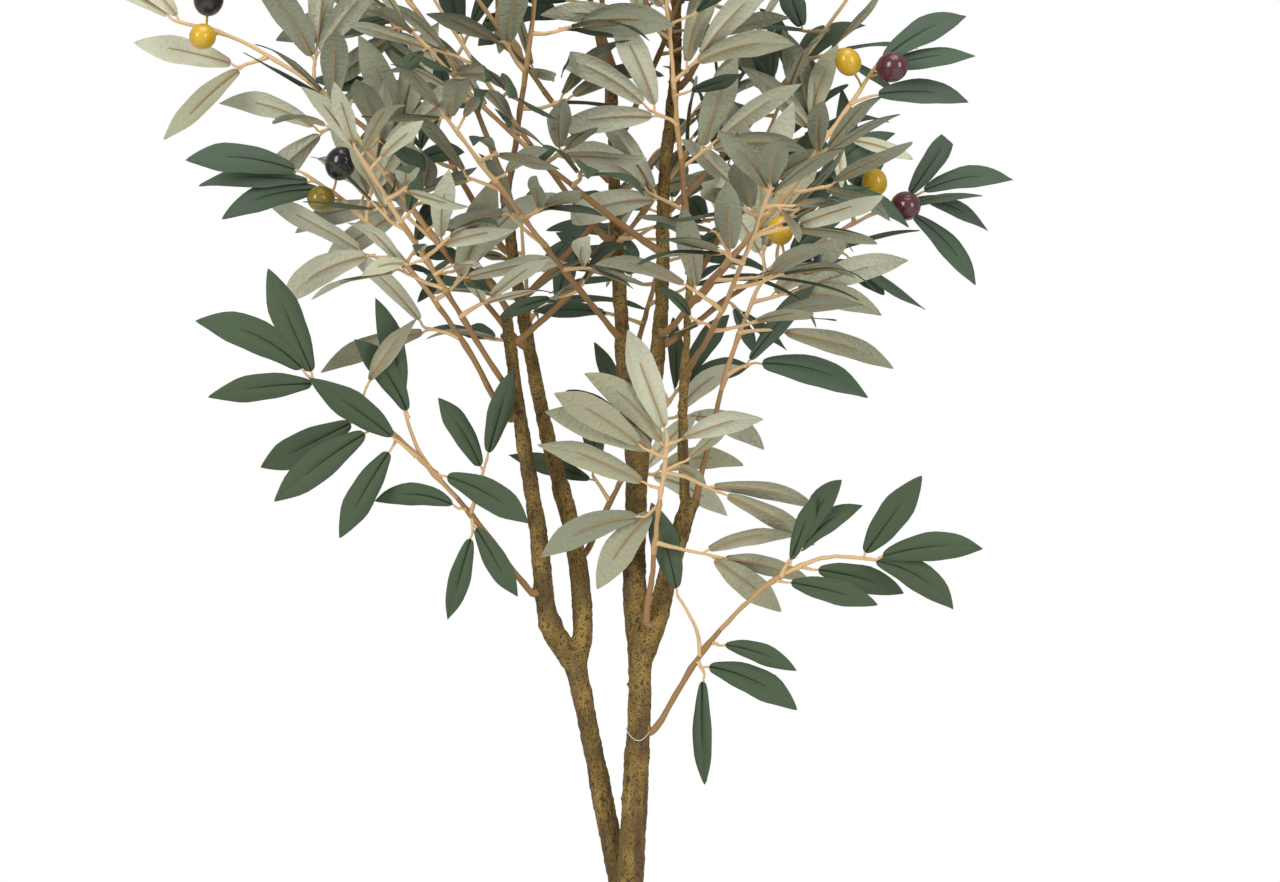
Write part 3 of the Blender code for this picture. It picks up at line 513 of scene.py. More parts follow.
def all_sprays(trees):
    """Every spray of the crown, by name."""
    rng = random.Random(SEED)
    placed = list(trees.values())
    crown = {}
    for name, (limb, height, tip, rise, size, olives, twigs) in SHOWN.items():
        tip = point(tip)
        place, way = seat(limb, height, tip - limb_line(limb)[-1], trees)
        line = stem_line(place, way, tip, rise, 5)
        front = across((tip - place).normalized(), FRONT)
        crown[name] = grow_spray(line, front, twigs, olives, size, SHOWN_PLAY, rng, placed)
        placed.append(spray_tree(crown[name]))
    for limb, (low, high, count, first, (flat, steep)) in RINGS.items():
        for k in range(count):
            share = k / max(count - 1, 1)
            height = mix(low, high, share)
            heading = radians(first + TURN * k)
            climb = radians(mix(flat, steep, share) + rng.uniform(-5, 5))
            size = rng.uniform(LEAF_SHORT, LEAF_LONG)
            sag = rng.uniform(-15, 5)
            level = Vector((cos(heading), sin(heading), 0))
            for turn in (0, 14, -14, 28, -28, 42, -42, 56, -56):
                out = turned(level, turn, "Z")
                place, way = seat(limb, height, out, trees)
                rising = out * cos(climb) + UP * sin(climb)
                reach = crown_reach(place, rising) - size * MM
                reach = max(min(reach, 250 * MM), 90 * MM)
                tip = place + rising * reach
                line = stem_line(place, way, tip, sag, 4)
                hull = rod_hull(line[1:], [STEM_RADIUS * MM] * (len(line) - 1), CLEAR * MM)
                if not touches(hull, placed):
                    break
            else:
                continue
            front = across((tip - place).normalized(), UP)
            olives = 0.92 if k % 3 == 1 and tip.y > 0 else None
            name = f"spray_{limb[-1]}{k + 1}"
            crown[name] = grow_spray(line, front, plain_twigs(reach), olives, size, 1.0, rng,
                                     placed)
            placed.append(spray_tree(crown[name]))
    return crown


# The crown, carried finer: a fine twig's spacing, reach, radius and room, and its leaves'
# size as a share of the spray's
FINE_EVERY = 17.0
FINE_REACH = (9.0, 20.0)
FINE_RADIUS = 1.1
FINE_CLEAR = 0.7
FINE_SIZE = (0.50, 0.82)
# How far they keep from an olive, in olives' radii
OLIVE_ROOM = 2.3
# Sprays whose tips rise past this grow fewer fine twigs
HIGH = 1130.0
FINE_LOW = 0.9
FINE_HIGH = 0.35
# How the sprays that show one by one differ: the share of fine twigs that they grow, where
# they stand open against the sky; their green and sage; and their larger and smaller olive,
# 0 black, 1 green, 2 purple, 3 yellow
LOOKS = {
    "spray_low_left": (0.10, 0, 0, None),
    "spray_low_right": (0.12, 0, 1, None),
    "spray_front": (0.15, 0, 0, None),
    "spray_left": (0.3, 1, 1, (0, 1)),
    "spray_upper_left": (0.5, 1, 1, (0, 3)),
    "spray_top_left": (0.6, 2, 2, None),
    "spray_right": (0.35, 1, 0, (0, 3)),
    "spray_far_right": (0.45, 1, 1, (2, 3)),
    "spray_upper_right": (0.5, 1, 1, (2, 3)),
    "spray_centre": (None, 2, 1, None),
}


def fine_leaf(root, heading, front, size, rng, near):
    """A smaller leaf on a finer twig, or None where it has no room."""
    for a, b, c, d, e in [swings(rng, 5) for _ in range(3)]:
        way = (heading + front * 0.35 * a + front.cross(heading) * 0.45 * b).normalized()
        normal = turned(across(way, front), 38 * c, way)
        leaf = new_leaf(root, way, normal, size * (1 + 0.10 * d) * MM, 1.06 + 0.12 * e, d, a)
        hull = blade_hull(leaf, 0.06, FINE_CLEAR * MM)
        if max(p.z for p in hull[0]) <= TREE_TOP * MM and not touches(hull, near):
            return leaf
    return None


def carry_on(line, share, front, size, rng, near):
    """Finer twigs between a spray's own, each with one or two smaller leaves."""
    share = share or (FINE_LOW if line[-1].z < HIGH * MM else FINE_HIGH)
    twigs = []
    leaves = []
    count = max(2, round(lengths(line)[-1] / MM / FINE_EVERY))
    for k in range(1, count):
        draw = [rng.random() for _ in range(8)]
        if draw[0] > share:
            continue
        base, heading = along(line, 0.16 + 0.80 * (k + 0.5 * draw[1]) / count)
        face = across(heading, front)
        side = -1 if k % 2 else 1
        go = turned(heading, side * (42 + 34 * draw[2]), face)
        go = (go + face * (1.5 * draw[3] - 0.75)).normalized()
        end = base + go * mix(*FINE_REACH, draw[4]) * MM
        twig = [base + go * 4 * MM, end]
        thin = [FINE_RADIUS * MM] * 2
        if touches(rod_hull(twig, thin, FINE_CLEAR * MM), near):
            continue
        long = size * mix(*FINE_SIZE, draw[5])
        upper = face if draw[6] < 0.8 else -face
        grown = [fine_leaf(end, go, upper, long, rng, near)]
        if draw[7] < 0.45:
            way = turned(go, 52 * side, face)
            grown.append(fine_leaf(base.lerp(end, 0.55), way, upper, long * 0.8, rng, near))
        grown = [leaf for leaf in grown if leaf]
        if grown:
            twigs.append((base, end))
            leaves += grown
            near += [search_tree(blade_hull(leaf, 0.08, 0.1 * MM)) for leaf in grown]
            near.append(search_tree(rod_hull(twig, thin, 0.0)))
    return twigs, leaves


# Mesh building


def add_object(name, data):
    thing = bpy.data.objects.new(name, data)
    bpy.context.scene.collection.objects.link(thing)
    return thing


class Heap:
    """Vertices and faces of many small things that end as one mesh."""

    def __init__(self):
        self.points = []
        self.faces = []
        self.paints = []
        self.count = 0

    def add(self, points, faces, paints):
        first = self.count
        self.points.append(np.asarray(points, float))
        self.count += len(points)
        self.faces += [[first + k for k in face] for face in faces]
        self.paints += paints

    def build(self, name, materials, sharp=70):
        mesh = bpy.data.meshes.new(name)
        mesh.from_pydata(np.concatenate(self.points).tolist(), [], self.faces)
        mesh.polygons.foreach_set("material_index", self.paints)
        mesh.shade_smooth()
        mesh.set_sharp_from_angle(angle=radians(sharp))
        for material in materials:
            mesh.materials.append(material)
        return add_object(name, mesh)


def unit(rows):
    """Each row's vector made one long."""
    return rows / np.linalg.norm(rows, axis=1)[:, None]


def tube(heap, points, radii, sides, paints):
    """A round closed tube; paints gives a material for each of its spans."""
    points = np.asarray(points, float)
    ways = unit(np.gradient(points, axis=0))
    start = np.array([0.0, 0.0, 1.0] if abs(ways[0][2]) < 0.9 else [1.0, 0.0, 0.0])
    side = np.cross(ways[0], start)
    angles = np.arange(sides) * 2 * pi / sides
    rings = []
    for place, way, radius in zip(points, ways, radii):
        side = side - way * side.dot(way)
        side /= np.linalg.norm(side)
        rings.append(place + radius * (np.outer(np.cos(angles), side)
                                       + np.outer(np.sin(angles), np.cross(way, side))))
    last = (len(points) - 1) * sides
    faces = [[k + n, k + (n + 1) % sides, k + sides + (n + 1) % sides, k + sides + n]
             for k in range(0, last, sides) for n in range(sides)]
    faces += [list(range(sides))[::-1], [last + n for n in range(sides)]]
    spans = [paints[min(k // sides, len(paints) - 1)] for k in range(last)]
    heap.add(np.concatenate(rings), faces, spans + [paints[0], paints[-1]])


# Leaves: the stalk's share of the length, the blade's thickness, the rib's end as a share of
# the blade, the groove over it, and the blade's half width at each row
STALK = 0.09
THICK = 0.42
RIB_TO = 0.64
GROOVE = 0.62
GROOVE_DEEP = 0.35
ROWS = (0.0, 0.015, 0.04, 0.08, 0.14, 0.20, 0.28, 0.36, 0.45, 0.54, 0.64, 0.72, 0.79, 0.86,
        0.92, 0.97)
HALF = (0.12, 0.28, 0.38, 0.48, 0.60, 0.71, 0.82, 0.905, 0.97, 1.0, 0.96, 0.86, 0.71,
        0.52, 0.32, 0.14)
COLUMNS = 9
MIDDLE = COLUMNS // 2
INNER, OUTER = 0.38, 0.7
UPPER, UNDER, LINE = 0, 1, 2
# How many rows before the tip a folded leaf folds
FOLD_ROWS = 4


def leaf_topology():
    """A leaf's faces, above and below in turn, and the kind of each."""
    rows = len(ROWS)
    tip = rows * COLUMNS
    top = np.append(np.arange(tip), [tip] * COLUMNS).reshape(-1, COLUMNS)
    low = top.copy()
    low[1:-1, 1:-1] = tip + 1 + np.arange((rows - 1) * (COLUMNS - 2)).reshape(rows - 1, -1)
    faces = []
    kinds = []
    for row in range(rows):
        for col in range(COLUMNS - 1):
            square = [(row, col), (row + 1, col), (row + 1, col + 1), (row, col + 1)]
            for grid, ring in ((top, square), (low, square[:1] + square[:0:-1])):
                faces.append(list(dict.fromkeys(int(grid[spot]) for spot in ring)))
            grooved = col in (MIDDLE - 1, MIDDLE) and ROWS[row] < RIB_TO - 0.03
            kinds += [LINE if grooved else UPPER, UNDER]
    return faces, kinds


LEAF_FACES, LEAF_KINDS = leaf_topology()


def leaf_line(leaf, s, bend):
    """Points of a leaf's middle line at shares s of its blade."""
    root = np.array(leaf.root)
    way = np.array(leaf.along)
    t = STALK + (1 - STALK) * s
    late = np.clip(s - 0.55, 0, None)
    return (root + np.outer(t * leaf.length, way)
            + np.outer(t * t - t, np.array(leaf.bow))
            - np.outer(bend * leaf.length * late ** 2, np.array(leaf.normal)))


def draw_leaf(leaves, wires, leaf, heading, rng, upper, under, droop, fold=0.0):
    """A fabric leaf with its rib and stalk."""
    draw = rng.uniform
    bend = draw(-0.25, 0.60) * droop
    twist = radians(draw(-18, 18))
    cup = draw(-0.12, 0.30)
    dome = draw(0.7, 1.7) * MM * (leaf.length / (80 * MM))
    wave = draw(0.2, 1.2) * MM
    phase = draw(0, 6.28)
    turns = draw(4.0, 9.0)
    rows = np.array(ROWS + (1.0,))
    side0 = np.cross(np.array(leaf.normal), np.array(leaf.along))
    swerve = Vector(side0) * leaf.length * draw(-0.18, 0.18)
    leaf = leaf._replace(bow=leaf.bow + swerve, width=leaf.width * draw(0.84, 1.04))
    middle = leaf_line(leaf, rows, bend)
    ways = unit(np.gradient(middle, rows, axis=0))
    sides = unit(side0 - ways * (ways @ side0)[:, None])
    ups = np.cross(ways, sides)
    turn = (twist * rows)[:, None]
    sides, ups = (sides * np.cos(turn) + ups * np.sin(turn),
                  ups * np.cos(turn) - sides * np.sin(turn))
    half = np.array(HALF + (0.0,)) * leaf.width / 2
    half = half * (1 + 0.03 * np.sin(phase * 2 + rows * 17))
    fade = np.clip((RIB_TO - rows) / 0.12, 0, 1)
    groove = np.minimum(GROOVE * MM * (0.35 + 0.65 * np.clip((RIB_TO - rows) / 0.5, 0, 1)),
                        half * 0.25)
    columns = np.stack([-half, -half * OUTER, -half * INNER, -groove, half * 0,
                        groove, half * INNER, half * OUTER, half], 1)
    ratio = np.divide(columns, half[:, None], out=np.zeros_like(columns), where=half[:, None] > 0)
    size = np.abs(ratio)
    high = -cup * ratio ** 2 * half[:, None] * 0.8
    high += dome * (4 * size * (1 - size)) * (0.35 + 0.65 * fade)[:, None]
    high += wave * np.sin(phase + turns * rows)[:, None] * ratio * size
    high[:, MIDDLE] -= GROOVE_DEEP * MM * fade
    thick = np.full_like(columns, THICK * MM / 2)
    thick[:, (0, COLUMNS - 1)] = 0
    thick[0] = 0
    flat = middle[:, None] + sides[:, None] * columns[..., None]
    top, low = (flat + ups[:, None] * (high + off)[..., None] for off in (thick, -thick))
    count = len(ROWS)
    if fold:
        hinge = count - FOLD_ROWS
        axis = sides[hinge] + ways[hinge] * draw(-0.35, 0.35)
        swing = np.array(Matrix.Rotation(fold, 3, Vector(axis)))
        for part in (top, low):
            part[hinge + 1:] = (part[hinge + 1:] - middle[hinge]) @ swing.T + middle[hinge]
    points = np.concatenate([
        top[:count].reshape(-1, 3), top[count, MIDDLE][None],
        low[1:count, 1:COLUMNS - 1].reshape(-1, 3),
    ])
    paint = {UPPER: upper, UNDER: under, LINE: LINE_PAINT}
    leaves.add(points, LEAF_FACES, [paint[k] for k in LEAF_KINDS])

    # stalk from the twig, then the rib under the blade
    foot = np.array(leaf.root)
    base = middle[0]
    lead = np.linalg.norm(base - foot)
    bow = np.array(swings(rng, 3)) * lead * 0.06
    first = foot + np.array(heading) * lead * 0.42
    second = base - ways[0] * lead * 0.36 + bow
    path = [foot * (1 - t) ** 3 + first * 3 * t * (1 - t) ** 2 + second * 3 * t * t * (1 - t)
            + base * t ** 3 for t in (k / 5 for k in range(5))]
    ribs = np.linspace(0.0, RIB_TO, 7)
    normals = np.stack([np.interp(ribs, rows, ups[:, k]) for k in range(3)], 1)
    sag = np.interp(ribs, rows, GROOVE_DEEP * MM * fade + THICK * MM / 2)
    rib = np.linspace(0.88, 0.45, 7) * STALK_RADIUS * MM
    under_line = leaf_line(leaf, ribs, bend) - normals * (sag + rib * 0.35)[:, None]
    radii = [STALK_RADIUS * MM * r for r in (1.35, 1.05, 1.0, 0.95, 0.92)]
    tube(wires, np.concatenate([np.array(path), under_line]), radii + list(rib), 5,
         [TAN] * 5 + [RIB] * 7)


# Wires: radii at a stem's root and tip, its flare at the bark, and the knots on it
STALK_RADIUS = 0.98
STEM_WIRE = (2.6, 1.3)
STEM_FLARE, STEM_FLARE_REACH = 1.6, 6
KNOT_HIGH, KNOT_LONG = 0.75, 3.2
TWIG_WIRE = (1.65, 1.15)
FINE_WIRE = (1.2, 0.95)
TAN, MID, BROWN, RIB, YELLOW = range(5)


def wander(line, steps, amount, rng):
    """A finer line through the points, a little uneven."""
    fine = smooth([Vector(p) for p in line], steps)
    shift = Vector((0, 0, 0))
    out = []
    for k, place in enumerate(fine):
        edge = min(k, len(fine) - 1 - k, 3) / 3
        pull = Vector(swings(rng, 3)) * amount * MM
        shift = shift * 0.70 + pull * 0.8
        out.append(place + shift * edge)
    return out


def draw_stem(wires, line, knots, rng):
    """A spray's main wire, brown at the bark and tan towards its tip."""
    way = (line[1] - line[0]).normalized()
    fine = wander([line[0] - way * 4 * MM] + list(line[1:]), 6, 0.62, rng)
    marks = lengths(fine)
    radii = []
    paints = []
    for mark in marks:
        part = mark / marks[-1]
        radius = mix(*STEM_WIRE, part ** 0.8)
        radius += STEM_FLARE * exp(-mark / (STEM_FLARE_REACH * MM))
        radius *= 1 + 0.09 * rng.uniform(-1, 1)
        for knot in knots:
            off = (part - knot) * marks[-1] / (KNOT_LONG * MM)
            radius += KNOT_HIGH * exp(-(off ** 2))
        radii.append(radius * MM)
        paints.append(BROWN if part < 0.40 else MID if part < 0.68 else TAN)
    tube(wires, fine, radii, 8, paints)


def draw_twig(wires, a, b, thin, rng):
    bow = Vector(swings(rng, 3)) * (b - a).length * 0.07
    fine = wander([a, a.lerp(b, 0.35) + bow, a.lerp(b, 0.75) + bow * 0.6, b], 3, 0.35, rng)
    shares = [k / (len(fine) - 1) for k in range(len(fine))]
    tube(wires, fine, [(mix(*thin, t) + 0.7 * exp(-6 * t)) * MM for t in shares], 6, [TAN])


def way_of(parts, leaf):
    """The heading of the rod that a leaf stands on."""
    best = None
    for line, _, _ in parts.rods:
        for a, b in zip(line, line[1:]):
            span = b - a
            t = max(0.0, min(1.0, (leaf.root - a).dot(span) / span.length_squared))
            off = (leaf.root - a.lerp(b, t)).length
            if best is None or off < best[0] - 1e-7:
                best = (off, span.normalized())
    return best[1]


# An olive's breadth and length as shares of its size
OLIVE_SHAPE = (0.94, 0.94, 1.08, 1)


def draw_olive(fruit, wires, centre, radius, out, paint, rng):
    """A smooth fruit, a little longer than wide, on a yellow stalk."""
    skin = bmesh.new()
    turn = out.to_track_quat("Z", "Y").to_matrix().to_4x4()
    shape = Matrix.Translation(centre) @ turn @ Matrix.Diagonal(OLIVE_SHAPE)
    bmesh.ops.create_uvsphere(skin, u_segments=20, v_segments=14, radius=radius, matrix=shape)
    skin.verts.index_update()
    points = [v.co[:] for v in skin.verts]
    faces = [[v.index for v in face.verts] for face in skin.faces]
    skin.free()
    fruit.add(points, faces, [paint] * len(faces))
    foot = centre - out * (radius * 0.8 + OLIVE_STALK * MM)
    end = centre - out * radius * 0.95
    path = wander([foot, foot.lerp(end, 0.5) + Vector((0.6, -0.4, -0.6)) * MM, end], 3, 0.15, rng)
    last = len(path) - 1
    radii = [(1.25 - 0.35 * sin(pi * k / last)) * MM for k in range(last + 1)]
    tube(wires, path, radii, 6, [YELLOW])


# Finishes


BLACK, WHITE = (0, 0, 0, 1), (1, 1, 1, 1)


def linear(*rgb):
    """A colour of 0 to 255 as Blender's own, with its alpha."""
    return tuple(((c / 255 + 0.055) / 1.055) ** 2.4 if c > 10 else c / 255 / 12.92
                 for c in rgb) + (1.0,)


def feed(tree, node, inputs):
    """Link or set a node's inputs, by name or number."""
    for key, value in inputs.items():
        if isinstance(value, bpy.types.NodeSocket):
            tree.links.new(value, node.inputs[key])
        else:
            node.inputs[key].default_value = value


def add_node(tree, kind, inputs, **settings):
    """A new node with these settings and inputs; gives its outputs."""
    node = tree.nodes.new("ShaderNode" + kind)
    for key, value in settings.items():
        setattr(node, key, value)
    feed(tree, node, inputs)
    return node.outputs


def specks(tree, size, detail, stretch=None):
    """Noise with spots of this size in mm, drawn out up the object by stretch."""
    where = add_node(tree, "TexCoord", {})["Object"]
    if stretch:
        where = add_node(tree, "Mapping", {"Vector": where, "Scale": (1, 1, 1 / stretch)})[0]
    noises = {"Vector": where, "Scale": 1000.0 / size, "Detail": detail}
    return add_node(tree, "TexNoise", noises)["Fac"]


def ramp(tree, source, *stops):
    """Colours that follow a value through these stops."""
    node = tree.nodes.new("ShaderNodeValToRGB")
    feed(tree, node, {"Fac": source})
    marks = node.color_ramp.elements
    for at, _ in stops[1:-1]:
        marks.new(at)
    for mark, (at, colour) in zip(marks, stops):
        mark.position = at
        mark.color = colour
    return node.outputs["Color"]


def new_finish(name, make):
    """A material whose shader takes the inputs that make gives for its node tree."""
    material = bpy.data.materials.new(name)
    material.use_nodes = True
    tree = material.node_tree
    feed(tree, tree.nodes["Principled BSDF"], make(tree))
    return material


def relief(tree, height, depth):
    """Bump of this depth in mm."""
    return add_node(tree, "Bump", {"Height": height, "Distance": depth * MM})["Normal"]


def new_material(name, colour, roughness, grain, depth, shine=0.3, gloss=None, spread=0.12):
    """A finish with one colour; its grain drives relief and roughness."""
    def make(tree):
        speck = specks(tree, grain, 3.0)
        inputs = {
            "Base Color": linear(*colour), "Specular IOR Level": shine,
            "Roughness": add_node(tree, "MapRange", {
                "Value": speck, "To Min": max(0.0, roughness - spread),
                "To Max": min(1.0, roughness + spread)})["Result"],
            "Normal": relief(tree, speck, depth),
        }
        if gloss is not None:
            inputs.update({"Coat Weight": gloss, "Coat Roughness": 0.12})
        return inputs

    return new_finish(name, make)


def bark_look(tree):
    """Ochre bark with brown patches and streaks, peppered with fine pits; painted shade darkens
    the pits and the hollows of its relief.
    """
    # The relief's height, read back from the skin; its low values also drive painted shade below
    relief_and_shade = add_node(tree, "Attribute", {}, attribute_name="relief")["Fac"]
    grain = specks(tree, 1.0, 1.0, 1.0)
    pits = specks(tree, 1.5, 1.5, 0.8)
    patches = specks(tree, 16.0, 3.0, 1.6)
    streaks = specks(tree, 11.0, 2.0, 7.0)
    colour = ramp(tree, patches, (0.32, linear(94, 74, 34)), (0.50, linear(121, 97, 45)),
                  (0.68, linear(147, 120, 60)))
    for over, mask in (
        ((92, 70, 44), ramp(tree, streaks, (0.56, BLACK), (0.70, WHITE))),
        # painted shade: darker brown where the relief sinks into hollows
        ((74, 56, 30), ramp(tree, relief_and_shade, (0.30, WHITE), (0.48, BLACK))),
        # painted shade: dark brown in the fine pits, which the bump also sinks
        ((62, 46, 24), ramp(tree, pits, (0.56, BLACK), (0.625, WHITE))),
    ):
        colour = add_node(tree, "Mix", {"Factor": mask, "A": colour, "B": linear(*over)},
                          data_type="RGBA")["Result"]
    height = relief_and_shade
    for rough, weight in ((grain, 0.4), (pits, -0.9)):
        height = add_node(tree, "Math", {0: rough, 1: weight, 2: height},
                          operation="MULTIPLY_ADD")["Value"]
    return {"Base Color": colour, "Roughness": 0.88, "Normal": relief(tree, height, 1.1)}


def cement_look(tree):
    cloud = specks(tree, 1000 / 45, 6.0)
    grit = specks(tree, 1000 / 900, 2.0)
    mixed = add_node(tree, "Mix", {"Factor": 0.4, "A": cloud, "B": grit}, data_type="FLOAT")
    colour = ramp(tree, mixed["Result"], (0.36, linear(96, 93, 88)), (0.62, linear(152, 148, 140)))
    return {"Base Color": colour, "Roughness": 0.92, "Normal": relief(tree, grit, 0.6)}


# Bark: the skin's voxel, the number of cut twigs on each limb, and the heights of its
# raised joints
BARK_VOXEL = 1.1
STUBS = {"trunk_left": 3, "trunk_right": 4, "limb_a": 2, "limb_b": 3, "limb_c": 2,
         "limb_e": 3, "limb_f": 3}
STUB_RADII = (2.0, 1.6, 1.1)
STUB_PLACES = (0.0, 1.5, 3.4)
JOINTS = {"trunk_left": (578, 330), "trunk_right": (599, 744, 388), "limb_a": (694,),
          "limb_b": (796,), "limb_d": (893,), "limb_e": (905,), "limb_f": (888,)}
JOINT_HIGH, JOINT_LONG = 0.8, 3.0
JOINT_BELOW, JOINT_ABOVE = 0.6, -0.2


def bark_line(name):
    """A limb's line and radii with many more points than the solid has."""
    ends, points = LIMBS[name]
    foot, fork = FLARES.get(name, (0.0, 0.0))
    line = smooth([point(p) for p in points], 10)
    marks = lengths(line)
    radii = []
    for place, mark in zip(line, marks):
        radius = mix(*ends, mark / marks[-1])
        radius += foot * exp(-mark / (FOOT_FLARE_REACH * MM))
        radius += fork * exp((mark - marks[-1]) / (FORK_FLARE_REACH * MM))
        for height in JOINTS.get(name, ()):
            off = place.z / MM - height
            radius += (JOINT_HIGH * exp(-((off / JOINT_LONG) ** 2))
                       + (JOINT_BELOW if off < 0 else JOINT_ABOVE))
        radii.append(radius * MM)
    if name.startswith("trunk"):
        line[0] = line[0] - UP * 5 * MM
    return line, radii


def vectors(collection, field):
    """A vector of each of a mesh's members, as rows."""
    values = np.empty(len(collection) * 3)
    collection.foreach_get(field, values)
    return values.reshape(-1, 3)


def bark_skin(name, members, material, rng):
    """One skin over a trunk and the limbs that it carries, with its relief."""
    heap = Heap()
    for limb in members:
        line, radii = bark_line(limb)
        tube(heap, line, radii, 20, [0])
        for _ in range(STUBS.get(limb, 0)):
            share = rng.uniform(0.12, 0.95)
            place, heading = along(line, share)
            out = Matrix.Rotation(rng.uniform(0, 6.28), 3, heading) @ across(
                heading, Vector((1, 0, 0)))
            out = (out + heading * 0.5).normalized()
            size = radii[int(share * (len(radii) - 1))]
            tube(heap, [place] + [place + out * (size + at * MM) for at in STUB_PLACES[1:]],
                 [r * MM for r in STUB_RADII], 8, [0])
    skin = heap.build(name, [])
    net = skin.modifiers.new("net", "REMESH")
    net.mode = "VOXEL"
    net.voxel_size = BARK_VOXEL * MM * 1
    net.use_smooth_shade = True
    ease = skin.modifiers.new("ease", "SMOOTH")
    ease.factor = 0.5
    ease.iterations = 5
    seen = skin.evaluated_get(bpy.context.evaluated_depsgraph_get())
    mesh = bpy.data.meshes.new_from_object(seen)
    skin.modifiers.clear()
    old = skin.data
    skin.data = mesh
    bpy.data.meshes.remove(old)
    mesh.name = name
    places = vectors(mesh.vertices, "co")
    normals = vectors(mesh.vertex_normals, "vector")
    relief_and_shade = np.empty(len(places))
    shift = np.empty(len(places))
    for k, (x, y, z) in enumerate(places / MM):
        spot = Vector((x, y, z * 0.62))
        broad = noise.noise(spot / 12.0)
        middle = noise.noise(spot / 4.6 + Vector((11, 3, 7)))
        fine = noise.noise(spot / 2.3 + Vector((5, 23, 2)))
        crack = noise.noise(Vector((x / 9.0, y / 9.0, z / 2.4)) + Vector((40, 1, 9)))
        shift[k] = 0.60 * broad + 0.55 * middle + 0.42 * fine + 0.28 * crack
        # The relief's height, kept for the finish, which also paints shade into its hollows
        relief_and_shade[k] = 0.55 + 0.22 * middle + 0.34 * fine + 0.12 * crack
    low = 1 - np.exp(-np.clip(places[:, 2] / MM - FILL_TOP + 2, 0, None) / 3)
    places += normals * (shift * MM * low)[:, None]
    mesh.vertices.foreach_set("co", places.ravel())
    layer = mesh.attributes.new("relief", "FLOAT", "POINT")
    layer.data.foreach_set("value", np.clip(relief_and_shade, 0, 1).astype(np.float32))
    mesh.shade_smooth()
    mesh.materials.append(material)
    return skin


# The pot and its fill


def cast(x, y):
    """How far cast cement stands up here, or is pitted."""
    spot = Vector((x, y, 3.0))
    pit = max(0.0, noise.noise(spot / 3.4 + Vector((9, 2, 1))) - 0.30)
    return 1.1 * noise.noise(spot / 23) + 0.45 * noise.noise(spot / 6.5) - 0.9 * pit


def lathe(name, profile, steps, material, sharp):
    """A skin turned from a profile that starts and ends on the axis.

    An entry is (radius, height) or (radius, height, its share of the cast's unevenness).
    """
    points = []
    for radius, height, *uneven in profile[1:-1]:
        for k in range(steps):
            angle = 2 * pi * k / steps
            x, y = radius * cos(angle), radius * sin(angle)
            points.append((x, y, height + (uneven[0] * cast(x, y) if uneven else 0)))
    first, last = len(points), len(points) - steps
    points += [(0, 0, profile[0][1]), (0, 0, profile[-1][1])]
    faces = []
    for k in range(steps):
        n = (k + 1) % steps
        faces += [[a + k, a + steps + k, a + steps + n, a + n] for a in range(0, last, steps)]
        faces += [[first, k, n], [last + k, first + 1, last + n]]
    heap = Heap()
    heap.add(np.array(points) * MM, faces, [0] * len(faces))
    return heap.build(name, [material], sharp)


# The pot's rounding and the height of its step, and the fill's rings, depth and room
CORNER = 1.6
STEP_AT = 96.0
FILL_RINGS = 34
FILL_SIDE = 14
FILL_GAP = 0.2


def rounded(profile):
    """The profile with its corners rounded; an entry is (r, z) or (r, z, share of CORNER)."""
    out = []
    for k, entry in enumerate(profile):
        if len(entry) == 2:
            out.append(entry)
            continue
        here = Vector(entry[:2])
        before = Vector(profile[k - 1][:2]) - here
        after = Vector(profile[k + 1][:2]) - here
        cut = min(entry[2] * CORNER, before.length * 0.45, after.length * 0.45)
        a = here + before.normalized() * cut
        b = here + after.normalized() * cut
        for t in (0, 0.25, 0.5, 0.75, 1):
            out.append(tuple(a * (1 - t) ** 2 + here * 2 * t * (1 - t) + b * t * t))
    return out


def outer(z):
    """The pot's outer radius at this height."""
    return mix(POT_BASE_RADIUS, POT_TOP_RADIUS, z / POT_HEIGHT)


def make_pot(material):
    """A pot with a collar, a step in its wall and a chamfered foot."""
    collar = POT_HEIGHT - POT_COLLAR_HEIGHT
    top = outer(POT_HEIGHT) + POT_COLLAR_OUT
    brim = outer(POT_HEIGHT) - POT_WALL
    return lathe("nursery_pot", rounded((
        (0, POT_WALL),
        (outer(POT_WALL) - POT_WALL, POT_WALL, 1),
        (brim, POT_HEIGHT - 1.0, 1),
        (brim + 1.0, POT_HEIGHT, 1),
        (top - 1.0, POT_HEIGHT, 1),
        (top, POT_HEIGHT - 1.6, 1),
        (outer(collar) + POT_COLLAR_OUT, collar, 1),
        (outer(collar) + 0.2, collar - 1.5, 0.6),
        (outer(STEP_AT) + 0.2, STEP_AT, 0.4),
        (outer(STEP_AT) - 0.5, STEP_AT - 0.9, 0.4),
        (outer(POT_FOOT_CHAMFER), POT_FOOT_CHAMFER, 1),
        (POT_BASE_RADIUS - POT_FOOT_CHAMFER, 0, 1),
        (0, 0),
    )), 128, material, 38)


def make_fill(material):
    """Cast cement, lower where it meets the pot."""
    edge = outer(FILL_TOP) - POT_WALL - FILL_GAP
    low = FILL_TOP - FILL_SIDE
    shares = [ring / FILL_RINGS for ring in range(1, FILL_RINGS + 1)]
    profile = [(edge * s, FILL_TOP - 0.9 - 1.6 * s ** 8, 1 - s ** 6) for s in shares]
    foot = [(outer(low) - POT_WALL - 2 * FILL_GAP, low), (0, low)]
    return lathe("cement_fill", [(0, FILL_TOP)] + profile + foot, 160, material, 50)


# Assembly

